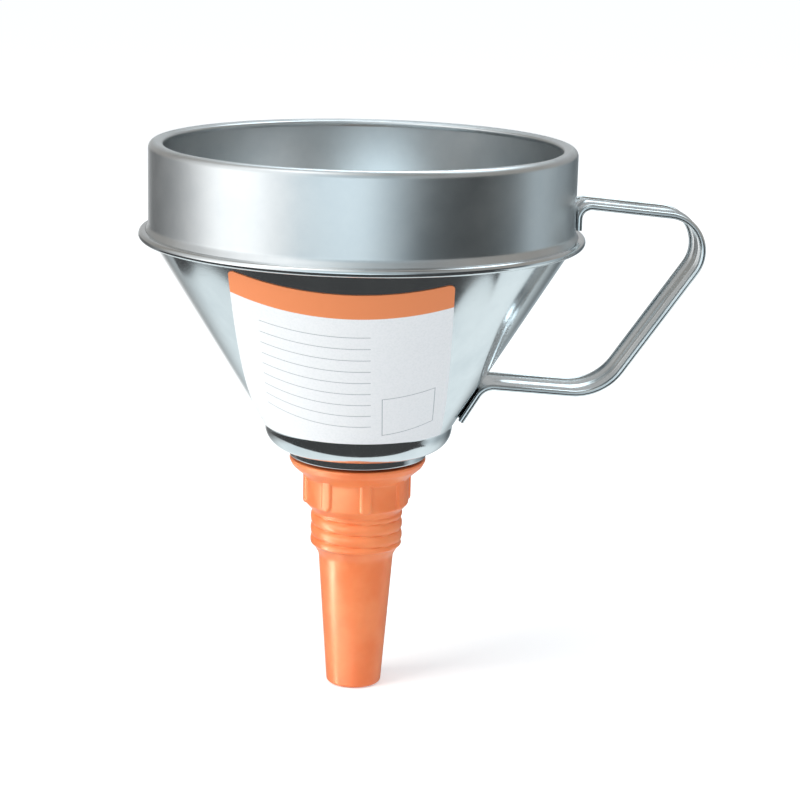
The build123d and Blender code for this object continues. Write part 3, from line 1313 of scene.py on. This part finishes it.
# ------------------------------------------------------------------ strainer
@dataclass
class Strainer:
    """The lift-out strainer: a dish with a rolled edge, woven gauze, its ring and a wire loop.

    The gauze has one wire each 1.25 mm, about twice a real one's pitch, so that each wire
    can be modelled and shows.
    """

    bowl: Bowl
    sheet: float = 0.38
    play: float = 0.2
    seat_play: float = 0.07
    flare_width: float = 3.15
    wall_height: float = 1.15
    corner: float = 6.0
    foot_bend: float = 0.4
    seat_bend: float = 0.3
    wall_bend: float = 1.5
    opening: float = 24.3
    roll: float = 0.7
    gauze_reach: float = 25.2
    gauze_pitch: float = 1.25
    gauze_wire: float = 0.19
    gauze_sides: int = 6
    ring_reach: float = 25.9
    ring_bend: float = 0.15
    loop_wire: float = 0.8
    loop_bend: float = 9.0
    loop_sides: int = 14
    loop_step: float = 6.0
    loop_bend_step: float = 7.0
    steps: int = 192
    dish_finish: Finish = SATIN_PLATE
    gauze_finish: Finish = WOVEN_BRASS
    loop_finish: Finish = WIRE_BRASS

    def build(self) -> None:
        """Builds the four pieces."""
        self.build_dish()
        self.build_gauze()
        self.build_ring()
        self.build_loop()

    @property
    def dish_radius(self) -> float:
        """Outer radius of the dish."""
        return self.bowl.step_radius - self.bowl.sheet - self.play

    def build_dish(self) -> None:
        """A shallow dish whose foot drops into the bowl's seat and whose edge is rolled inwards."""
        foot, top = node_foot("strainer_frame"), node_top("strainer_frame")
        seat = self.bowl.seat_radius - self.bowl.sheet - self.seat_play
        line = outline_points(
            [
                Corner(self.opening, foot),
                Corner(seat, foot, self.foot_bend),
                Corner(seat + self.bowl.seat_slope, foot + self.bowl.seat_depth, self.seat_bend),
                Corner(self.dish_radius - self.flare_width, foot + self.bowl.seat_depth, self.corner),
                Corner(self.dish_radius, top - self.roll - self.wall_height, self.wall_bend),
                Corner(self.dish_radius, top - self.roll),
            ]
        )
        line += arc_points((self.dish_radius - self.roll, top - self.roll), self.roll, 0, 300, 14)
        dish = lathe("strainer_dish", line, self.steps, looks=(self.opening + 1, foot, 0, -1))
        give_sheet(dish, self.sheet)
        shade(dish)
        self.dish_finish.put_on(dish)
        stand_for(dish, "strainer", "satin_tinplate", "strainer_frame")

    def build_gauze(self) -> None:
        """Plain weave of round wires: one wire is made, copied across and trimmed to a disc."""
        low, high = node_foot("strainer_gauze"), node_top("strainer_gauze")
        middle, swing = (low + high) / 2, self.gauze_wire / 2
        count = int(self.gauze_reach / self.gauze_pitch)
        wires: list[bpy.types.Object] = []
        for row in range(-count, count + 1):
            offset = (row + 0.5) * self.gauze_pitch
            if abs(offset) > self.gauze_reach:
                continue
            cells = int(math.sqrt(self.gauze_reach**2 - offset**2) / self.gauze_pitch)
            if cells < 1:
                continue
            for along_x in (True, False):
                wires.append(self.wire(row, offset, cells, middle, swing, along_x))
        activate(wires[0])
        for wire in wires:
            wire.select_set(True)
        bpy.ops.object.join()
        gauze = bpy.context.object
        gauze.name = gauze.data.name = "strainer_weave"
        shade(gauze, 60)
        self.gauze_finish.put_on(gauze)
        stand_for(gauze, "strainer", "brass_gauze", "strainer_gauze")

    def wire(
        self, row: int, offset: float, cells: int, middle: float, swing: float, along_x: bool
    ) -> bpy.types.Object:
        """One wire of the weave.

        Args:
            row: The wire's number, which sets whether it starts over or under.
            offset: Its distance from the middle, in millimetres.
            cells: Openings on each side of the middle.
            middle: Height of the weave's middle plane.
            swing: How far the wire goes over and under.
            along_x: Whether it runs along X.

        Returns:
            The wire, in object mode.
        """
        turn = Matrix.Rotation(0.0 if along_x else math.pi / 2, 4, "Z")
        sign = 1 if along_x else -1

        def point(step: int) -> Vector:
            """The wire's middle at a crossing or between two."""
            crossing = (step + 1) // 2 if step % 2 else None
            lift = 0.0 if crossing is None else (1 if (crossing + row) % 2 else -1) * sign * swing
            return turn @ Vector((mm(step * self.gauze_pitch / 2), mm(offset), mm(middle + lift)))

        deselect_all()
        first = -2 * cells - 1
        start, ahead = point(first), point(first + 1)
        bpy.ops.mesh.primitive_circle_add(
            vertices=self.gauze_sides,
            radius=mm(self.gauze_wire / 2),
            location=start,
            rotation=(ahead - start).to_track_quat("Z", "Y").to_euler(),
        )
        wire = bpy.context.object
        bpy.ops.object.transform_apply(location=True, rotation=True, scale=True)
        bpy.ops.object.mode_set(mode="EDIT")
        bpy.ops.mesh.select_all(action="SELECT")
        for step in range(first + 1, 2 * cells + 2):
            stride = point(step) - point(step - 1)
            bpy.ops.mesh.extrude_region_move(TRANSFORM_OT_translate={"value": stride})
        bpy.ops.mesh.select_all(action="SELECT")
        bpy.ops.mesh.normals_make_consistent(inside=False)
        bpy.ops.object.mode_set(mode="OBJECT")
        return wire

    def build_ring(self) -> None:
        """The flat ring that clamps the gauze, with softened edges."""
        low, high = node_foot("strainer_clamp_ring"), node_top("strainer_clamp_ring")
        line = outline_points(
            [
                Corner(self.opening, low),
                Corner(self.ring_reach, low),
                Corner(self.ring_reach, high, self.ring_bend),
                Corner(self.opening, high, self.ring_bend),
            ],
            closed=True,
            arc_step=30,
        )
        ring = lathe("strainer_clamp_band", line, self.steps, closed=True)
        shade(ring)
        self.dish_finish.put_on(ring)
        stand_for(ring, "strainer", "satin_tinplate", "strainer_clamp_ring")

    def build_loop(self) -> None:
        """The wire loop that the strainer is lifted by."""
        low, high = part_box("strainer_lift_loop")
        reach = high.x * 1000 - self.loop_wire
        foot, top = low.z * 1000, high.z * 1000 - self.loop_wire
        parts = path_parts(
            [
                Corner(-reach, foot),
                Corner(-reach, top, self.loop_bend),
                Corner(reach, top, self.loop_bend),
                Corner(reach, foot),
            ]
        )
        section = arc_points((0, 0), self.loop_wire, 0, 360, self.loop_sides)
        loop = sweep("strainer_lift_wire", section, parts, self.loop_step, self.loop_bend_step)
        shade(loop, 60)
        self.loop_finish.put_on(loop)
        stand_for(loop, "strainer", "brass_gauze", "strainer_lift_loop")


# ------------------------------------------------------------------ plastic spout
@dataclass
class Spout:
    """The moulded spout: flange, ribbed grip, one coarse spiral ridge and a long taper."""

    bowl: Bowl
    tip_radius: float = 10.6
    tip_edge: float = 1.3
    wall: float = 1.5
    taper_top_below: float = 2.0
    taper_top_radius: float = 14.5
    groove_radius: float = 16.9
    ridge_foot: float = 2.2
    ridge_top: float = 15.4
    ridge_lead: float = 4.6
    ridge_rise: float = 0.85
    ridge_start: float = 11.5
    ridge_azimuth: float = -93.0
    ridge_narrowing: float = 2.06
    grip_foot: float = 18.9
    grip_radius: float = 20.0
    rib_count: int = 8
    rib_width: float = 4.6
    rib_rise: float = 0.95
    rib_azimuth: float = 7.0
    rib_fullness: float = 1.25
    rib_roundness: float = 2.4
    rib_foot: float = 18.6
    rib_top: float = 31.0
    flare_foot: float = 29.3
    flange_radius: float = 26.2
    flange_lip: float = 1.0
    flange_gap: float = 1.0
    socket_play: float = 0.3
    socket_spare: float = 1.5
    steps: int = 360
    fine: float = 0.36
    finish: Finish = field(default_factory=OrangePolyethylene)

    def outline(self) -> list[tuple[float, float]]:
        """The closed section, outside from the tip up and inside back down."""
        tip, top = node_foot("spout"), self.bowl.floor - self.flange_gap
        socket = self.bowl.neck_radius + self.socket_play
        socket_floor = self.bowl.floor - self.bowl.neck_length - self.socket_spare
        grip_inner = min(socket - self.wall / 2, self.grip_radius - 2 * self.wall)
        bore = self.groove_radius - self.wall
        return outline_points(
            [
                Corner(self.tip_radius - self.wall, tip, 0.3),
                Corner(self.tip_radius, tip, self.tip_edge, 2.5),
                Corner(self.taper_top_radius, -self.taper_top_below, 5, self.fine),
                Corner(self.groove_radius, self.ridge_foot, 1, self.fine),
                Corner(self.groove_radius, self.ridge_top, 0.4, self.fine),
                Corner(self.grip_radius, self.grip_foot, 1.0, self.fine),
                Corner(self.grip_radius, self.flare_foot, 1.5, self.fine),
                Corner(self.flange_radius - self.flange_lip, top - 3 * self.flange_lip, 2),
                Corner(self.flange_radius, top - self.flange_lip, 0.4),
                Corner(self.flange_radius, top, 0.5),
                Corner(socket, top, self.bowl.neck_bend + 2 * self.socket_play),
                Corner(socket, socket_floor, 0.5),
                Corner(grip_inner, socket_floor, 0.3),
                Corner(bore, self.ridge_top, 1),
                Corner(bore, self.ridge_foot, 1),
                Corner(self.taper_top_radius - self.wall, -self.taper_top_below, 5, 4.0),
            ],
            closed=True,
            arc_step=12,
        )

    def ridge(self, angle: float, height: float) -> float:
        """How far the spiral ridge stands out at an angle and height."""
        turn = (math.degrees(angle) - self.ridge_azimuth) / 360.0
        crest = self.ridge_start - self.ridge_lead * turn
        phase = (height - crest) / self.ridge_lead
        phase -= round(phase)
        shape = math.sqrt(max(0.0, 1 - (self.ridge_narrowing * phase) ** 2))
        begun = smooth_step(self.ridge_foot - 1.2, self.ridge_foot + 0.6, height)
        ended = smooth_step(self.ridge_top - 0.7, self.ridge_top + 0.8, height)
        return self.ridge_rise * shape * begun * (1 - ended)

    def grip_rib(self, angle: float, height: float) -> float:
        """How far the nearest rib of the grip stands out at an angle and height."""
        spacing = FULL_TURN / self.rib_count
        off = (angle - math.radians(self.rib_azimuth)) / spacing
        side = (off - round(off)) * spacing * self.grip_radius
        half = self.rib_width / 2
        low, high = self.rib_foot + half, self.rib_top
        along = min(0.0, height - low) + max(0.0, height - high)
        gap = math.hypot(side, along) / half
        if gap >= 1:
            return 0.0
        return self.rib_rise * min(1.0, self.rib_fullness * math.sqrt(1 - gap**self.rib_roundness))

    def build(self) -> bpy.types.Object:
        """Turns the section, then raises the ridge and the ribs from its outside."""
        spout = lathe("spout_moulding", self.outline(), self.steps, closed=True)
        skin = self.groove_radius - 0.6 * self.wall

        def raise_skin(point: Vector) -> Vector:
            """Where one point of the skin goes."""
            height, radius = point.z * 1000, math.hypot(point.x, point.y) * 1000
            angle = math.atan2(point.y, point.x)
            rise = 0.0
            if self.ridge_foot - 2 < height < self.ridge_top + 1.2 and radius > skin - 1.2:
                rise = self.ridge(angle, height)
            if height > self.rib_foot - 0.5 and radius > self.grip_radius - 1.4:
                rib = self.grip_rib(angle, height)
                rise = max(rise, self.grip_radius + rib - radius) if rib > 0 else rise
            scale = (radius + rise) / radius
            return Vector((point.x * scale, point.y * scale, point.z))

        move_points(spout, raise_skin)
        shade(spout, 50)
        self.finish.put_on(spout)
        stand_for(spout, "spout", "orange_plastic", "spout")
        return spout


# ------------------------------------------------------------------ studio and camera
class SeenBy(Enum):
    """Which rays find a lamp."""

    MATT = "matt"
    GLOSS = "gloss"


class Cast(Enum):
    """Colour cast of a stretch of the surroundings."""

    PLAIN = (0.985, 1.0, 1.005)
    COLD = (0.86, 1.0, 1.07)
    WARM = (1.05, 1.0, 0.93)


Ring = tuple[tuple[float, float, Cast], ...]  # azimuth, brightness and cast round the tent


@dataclass(frozen=True)
class Softbox:
    """A soft lamp that faces the funnel.

    Azimuths are seen from the camera: 0 is behind it, and they rise to its right.
    aim is the height that it faces, in millimetres.
    """

    name: str
    azimuth: float
    elevation: float
    distance: float
    width: float
    height: float
    watts: float
    tint: str = "ffffff"
    seen_by: SeenBy = SeenBy.MATT
    only: str = ""
    aim: float = 80.0


@dataclass
class Studio:
    """White floor, the tent of greys that the metal mirrors, and the soft lamps.

    Three rings go round the tent, with azimuths as a softbox has them: horizon, which
    upright walls mirror, sky over it, and overhead, which the inside mirrors.  Where one
    gives way to the next is the upward part of the way there.  paper is the white floor's
    colour in mirrors.  The sheet of paper ends a little before the funnel, with two round
    corners, and the dark table goes on from its edge.
    """

    camera_azimuth: float = -3.0
    ambient: float = 0.45
    horizon: Ring = (
        (-180, 0.55, Cast.PLAIN),
        (-168, 1.30, Cast.PLAIN),
        (-154, 0.20, Cast.PLAIN),
        (-142, 0.15, Cast.PLAIN),
        (-122, 0.31, Cast.PLAIN),
        (-107, 0.50, Cast.PLAIN),
        (-94, 1.02, Cast.PLAIN),
        (-80, 1.75, Cast.PLAIN),
        (-58, 1.80, Cast.PLAIN),
        (-44, 1.25, Cast.PLAIN),
        (-32, 1.00, Cast.COLD),
        (-17, 1.22, Cast.COLD),
        (0, 1.42, Cast.COLD),
        (15, 0.72, Cast.COLD),
        (31, 0.13, Cast.COLD),
        (48, 0.05, Cast.COLD),
        (66, 0.04, Cast.COLD),
        (87, 0.145, Cast.COLD),
        (103, 0.66, Cast.COLD),
        (122, 0.40, Cast.COLD),
        (156, 0.12, Cast.COLD),
        (168, 0.45, Cast.COLD),
        (180, 0.55, Cast.PLAIN),
    )
    sky: Ring = (
        (-180, 0.50, Cast.PLAIN),
        (-125, 0.32, Cast.WARM),
        (-100, 0.70, Cast.PLAIN),
        (-72, 1.30, Cast.PLAIN),
        (-45, 1.30, Cast.PLAIN),
        (-22, 0.85, Cast.COLD),
        (15, 0.50, Cast.COLD),
        (40, 0.36, Cast.PLAIN),
        (80, 0.36, Cast.WARM),
        (100, 0.36, Cast.WARM),
        (150, 0.42, Cast.PLAIN),
        (180, 0.50, Cast.PLAIN),
    )
    overhead: Ring = (
        (-180, 3.60, Cast.COLD),
        (-160, 2.40, Cast.COLD),
        (-139, 0.65, Cast.PLAIN),
        (-98, 0.40, Cast.WARM),
        (-85, 0.90, Cast.PLAIN),
        (-66, 2.20, Cast.PLAIN),
        (-40, 2.00, Cast.PLAIN),
        (-15, 1.00, Cast.WARM),
        (5, 0.50, Cast.WARM),
        (35, 0.20, Cast.WARM),
        (65, 0.20, Cast.WARM),
        (85, 0.80, Cast.PLAIN),
        (110, 1.70, Cast.COLD),
        (135, 3.60, Cast.COLD),
        (155, 4.00, Cast.COLD),
        (180, 3.60, Cast.COLD),
    )
    floor_to_horizon: tuple[float, float] = (-0.62, -0.30)
    horizon_to_sky: tuple[float, float] = (-0.04, 0.09)
    overhead_share: tuple[tuple[float, float], ...] = ((0.68, 0.0), (0.78, 1.0), (0.88, 1.0), (0.95, 0.0))
    plain_light: tuple[float, float, float] = (0.93, 1.0, 1.06)
    paper: tuple[float, float, float] = (0.88, 0.98, 1.01)
    sheet_middle: float = -18.0
    sheet_half_width: float = 208.0
    sheet_front: float = 62.0
    sheet_back: float = 260.0
    left_corner: float = 185.0
    right_corner: float = 60.0
    table_reach: float = 620.0
    table_from: float = -30.0
    table_to: float = -210.0
    table_level: float = 0.065
    arc_steps: int = 24
    softboxes: tuple[Softbox, ...] = (
        Softbox("key_softbox", -62, 30, 1.1, 0.7, 0.9, 10.3, "fffdf8"),
        Softbox("fill_softbox", 40, 35, 1.4, 0.8, 0.8, 1.2, "e6f0ff"),
        Softbox("top_softbox", 0, 78, 1.2, 1.0, 1.0, 6.0),
        Softbox(
            "spout_streak", -73, -27, 0.09, 0.012, 0.13, 0.14, "ffe9cc", SeenBy.GLOSS, "spout_moulding", -14.0
        ),
        Softbox("spout_sheen", -50, -20, 0.3, 0.5, 0.2, 3.4, "ffe9cc", SeenBy.GLOSS, "spout_moulding", 0.0),
        Softbox("spout_fill", 35, 6, 0.6, 0.4, 0.3, 0.7, "fff0ea", SeenBy.MATT, "spout_moulding", 0.0),
    )

    def build(self) -> None:
        """Floor, surroundings and lamps."""
        self.build_floor()
        self.build_surroundings()
        for softbox in self.softboxes:
            self.hang(softbox)

    def build_floor(self) -> None:
        """A wide white floor at the spout's tip, which keeps the funnel's shadow."""
        deselect_all()
        bpy.ops.mesh.primitive_plane_add(size=60, location=(0, 0, CAD_BOX[0].z - 0.0002))
        floor = bpy.context.object
        floor.name = floor.data.name = "studio_floor"
        material = bpy.data.materials.new("white_floor")
        material.use_nodes = True
        tree = material.node_tree
        tree.nodes.clear()
        matt = add_node(tree, "ShaderNodeBsdfDiffuse", {"Color": linear("f4f4f4")})
        place = add_node(tree, "ShaderNodeTexCoord").outputs["Object"]
        away = add_node(tree, "ShaderNodeVectorMath", {"operation": "LENGTH"}, {0: place}).outputs["Value"]
        level = add_node(
            tree,
            "ShaderNodeMapRange",
            {"From Min": 0.25, "From Max": 1.2, "To Min": 0.40, "To Max": 0.60},
            {"Value": away},
        )
        glow = add_node(
            tree, "ShaderNodeEmission", {"Color": linear("ffffff")}, {"Strength": level.outputs["Result"]}
        )
        both = add_node(tree, "ShaderNodeAddShader", links={0: matt.outputs[0], 1: glow.outputs[0]})
        ray = add_node(tree, "ShaderNodeLightPath")
        seen = add_node(
            tree,
            "ShaderNodeMixShader",
            links={"Fac": ray.outputs["Is Camera Ray"], 1: matt.outputs[0], 2: both.outputs[0]},
        )
        add_node(tree, "ShaderNodeOutputMaterial", links={"Surface": seen.outputs[0]})
        floor.data.materials.append(material)
        floor.visible_glossy = False
        self.lay_dark_table()

    def lay_dark_table(self) -> None:
        """The dark table round a white sheet with two round corners, which only mirrors see."""
        under = CAD_BOX[0].z - 0.0006
        left = self.sheet_middle - self.sheet_half_width
        right = self.sheet_middle + self.sheet_half_width

        def turn(x: float, y: float, radius: float, start: float, end: float) -> list[Vector]:
            """Points round a circle in millimetres, at even steps from start to end in degrees."""
            ends = [math.radians(start + (end - start) * k / self.arc_steps) for k in range(self.arc_steps + 1)]
            return [
                Vector((mm(x + radius * math.cos(at)), mm(y + radius * math.sin(at)), under)) for at in ends
            ]

        left_round, right_round = self.left_corner, self.right_corner
        points = [
            Vector((mm(left), mm(self.sheet_back), under)),
            *turn(left + left_round, left_round - self.sheet_front, left_round, 180, 270),
            *turn(right - right_round, right_round - self.sheet_front, right_round, 270, 360),
            *turn(0, 0, self.table_reach, self.table_from, self.table_to),
        ]
        table = start_point("dark_table", points[0])
        draw_line(points, closed=True)
        bpy.ops.mesh.edge_face_add()
        bpy.ops.object.mode_set(mode="OBJECT")
        self.only_mirrored(table, self.table_level)

    def only_mirrored(self, card: bpy.types.Object, level: float) -> None:
        """Gives a card its own even light and shows it to mirrors alone."""
        material = bpy.data.materials.new(card.name)
        material.use_nodes = True
        tree = material.node_tree
        tree.nodes.clear()
        glow = add_node(tree, "ShaderNodeEmission", {"Color": (0.97, 1.0, 1.02, 1.0), "Strength": level})
        add_node(tree, "ShaderNodeOutputMaterial", links={"Surface": glow.outputs[0]})
        card.data.materials.append(material)
        card.visible_camera = card.visible_diffuse = card.visible_transmission = card.visible_shadow = False

    def build_surroundings(self) -> None:
        """White to the camera, plain light to matt surfaces, a tent of greys to mirrors."""
        world = bpy.data.worlds.new("studio_surroundings")
        bpy.context.scene.world = world
        world.use_nodes = True
        world.cycles.sampling_method = "NONE"  # so that every ray sees the side meant for it
        tree = world.node_tree
        tree.nodes.clear()
        ahead = add_node(tree, "ShaderNodeTexCoord").outputs["Generated"]
        way = add_node(tree, "ShaderNodeSeparateXYZ", links={"Vector": ahead})
        back = add_node(tree, "ShaderNodeMath", {"operation": "MULTIPLY", 1: -1.0}, {0: way.outputs["Y"]})
        angle = add_node(
            tree, "ShaderNodeMath", {"operation": "ARCTAN2"}, {0: way.outputs["X"], 1: back.outputs["Value"]}
        )
        turned = add_node(
            tree,
            "ShaderNodeMath",
            {"operation": "MULTIPLY_ADD", 1: 1 / FULL_TURN, 2: 0.5 - self.camera_azimuth / 360},
            {0: angle.outputs["Value"]},
        )
        share = add_node(tree, "ShaderNodeMath", {"operation": "FRACT"}, {0: turned.outputs["Value"]})
        level, high, above = (
            self.go_round(tree, share.outputs["Value"], ring) for ring in (self.horizon, self.sky, self.overhead)
        )
        down, up = (
            add_node(
                tree,
                "ShaderNodeMapRange",
                {
                    "interpolation_type": "SMOOTHSTEP",
                    "From Min": span[0],
                    "From Max": span[1],
                    "To Min": first,
                    "To Max": 1.0 - first,
                },
                {"Value": way.outputs["Z"]},
            )
            for span, first in ((self.floor_to_horizon, 1.0), (self.horizon_to_sky, 0.0))
        )
        floor = add_node(
            tree,
            "ShaderNodeMix",
            {"data_type": "RGBA", 7: self.paper + (1.0,)},
            {0: down.outputs["Result"], 6: level},
        )
        wall = add_node(
            tree,
            "ShaderNodeMix",
            {"data_type": "RGBA"},
            {0: up.outputs["Result"], 6: floor.outputs[2], 7: high},
        )
        greys = [(height, (part, part, part, 1.0)) for height, part in self.overhead_share]
        roof = add_ramp(tree, way.outputs["Z"], greys)
        tent = add_node(
            tree,
            "ShaderNodeMix",
            {"data_type": "RGBA"},
            {0: roof.outputs["Color"], 6: wall.outputs[2], 7: above},
        )
        ray = add_node(tree, "ShaderNodeLightPath")
        mirrored = add_node(tree, "ShaderNodeBackground", {"Strength": 1.0}, {"Color": tent.outputs[2]})
        plain = add_node(
            tree, "ShaderNodeBackground", {"Color": self.plain_light + (1.0,), "Strength": self.ambient}
        )
        white = add_node(tree, "ShaderNodeBackground", {"Color": (1, 1, 1, 1), "Strength": 1.0})
        lit = add_node(
            tree,
            "ShaderNodeMixShader",
            links={"Fac": ray.outputs["Is Glossy Ray"], 1: plain.outputs[0], 2: mirrored.outputs[0]},
        )
        seen = add_node(
            tree,
            "ShaderNodeMixShader",
            links={"Fac": ray.outputs["Is Camera Ray"], 1: lit.outputs[0], 2: white.outputs[0]},
        )
        add_node(tree, "ShaderNodeOutputWorld", links={"Surface": seen.outputs[0]})

    def go_round(
        self, tree: bpy.types.NodeTree, share: bpy.types.NodeSocket, ring: Ring
    ) -> bpy.types.NodeSocket:
        """Brightness and cast round the tent.

        Args:
            tree: The world's nodes.
            share: The place round the tent, from 0 to 1.
            ring: Azimuths, brightnesses and casts.

        Returns:
            The colour, which can be brighter than 1.
        """
        scale = max(level for _, level, _ in ring) * max(max(cast.value) for cast in Cast)
        colours = [
            ((angle + 180) / 360, tuple(level / scale * part for part in cast.value) + (1.0,))
            for angle, level, cast in ring
        ]
        band = add_ramp(tree, share, colours, "EASE")
        return add_node(
            tree, "ShaderNodeVectorMath", {"operation": "SCALE", "Scale": scale}, {0: band.outputs["Color"]}
        ).outputs["Vector"]

    def hang(self, softbox: Softbox) -> None:
        """Hangs one softbox and points it at the funnel."""
        azimuth = math.radians(softbox.azimuth + self.camera_azimuth)
        rise = math.radians(softbox.elevation)
        aim = Vector((0, 0, mm(softbox.aim)))
        across = math.cos(rise)
        out = Vector((math.sin(azimuth) * across, -math.cos(azimuth) * across, math.sin(rise)))
        data = bpy.data.lights.new(softbox.name, "AREA")
        data.shape = "RECTANGLE"
        data.size, data.size_y = softbox.width, softbox.height
        data.energy = softbox.watts
        data.color = linear(softbox.tint)[:3]
        lamp = bpy.data.objects.new(softbox.name, data)
        bpy.context.scene.collection.objects.link(lamp)
        lamp.location = aim + out * softbox.distance
        lamp.rotation_euler = (-out).to_track_quat("-Z", "Y").to_euler()
        lamp.visible_camera = False
        lamp.visible_glossy = softbox.seen_by is not SeenBy.MATT
        lamp.visible_diffuse = softbox.seen_by is not SeenBy.GLOSS
        if softbox.only:
            lit = bpy.data.collections.new(f"{softbox.name}_lights")
            lit.objects.link(bpy.data.objects[softbox.only])
            lamp.light_linking.receiver_collection = lit


@dataclass(frozen=True)
class ViewCamera:
    """A camera in front of the funnel, a little above its rim and slightly rolled."""

    azimuth: float = -3.0
    distance: float = 0.8308
    above_rim: float = 0.1019
    aim_aside: float = -1.09
    look_down: float = 13.56
    roll: float = 1.39
    lens: float = 100.4

    def place(self) -> bpy.types.Object:
        """Makes the camera and gives it to the scene."""
        data = bpy.data.cameras.new("view_camera")
        data.sensor_width = 36.0
        data.lens = self.lens
        camera = bpy.data.objects.new("view_camera", data)
        bpy.context.scene.collection.objects.link(camera)
        around = math.radians(self.azimuth)
        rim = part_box("splash_collar")[1].z
        camera.location = (
            self.distance * math.sin(around),
            -self.distance * math.cos(around),
            rim + self.above_rim,
        )
        camera.rotation_euler = (
            Matrix.Rotation(math.radians(self.azimuth + self.aim_aside), 3, "Z")
            @ Matrix.Rotation(math.radians(90 - self.look_down), 3, "X")
            @ Matrix.Rotation(math.radians(self.roll), 3, "Z")
        ).to_euler()
        bpy.context.scene.camera = camera
        return camera


def main() -> None:
    """Builds the funnel, the studio and the camera."""
    logging.basicConfig(level=logging.INFO, format="%(name)s: %(message)s")
    bowl = Bowl()
    bowl.build()
    collar = Collar(bowl)
    collar.build()
    StripHandle(bowl, collar).build()
    PaperLabel(bowl).build()
    Strainer(bowl).build()
    Spout(bowl).build()
    deselect_all()
    Studio().build()
    ViewCamera().place()
    bpy.context.scene.view_settings.view_transform = "Standard"


if __name__ == "__main__":
    main()
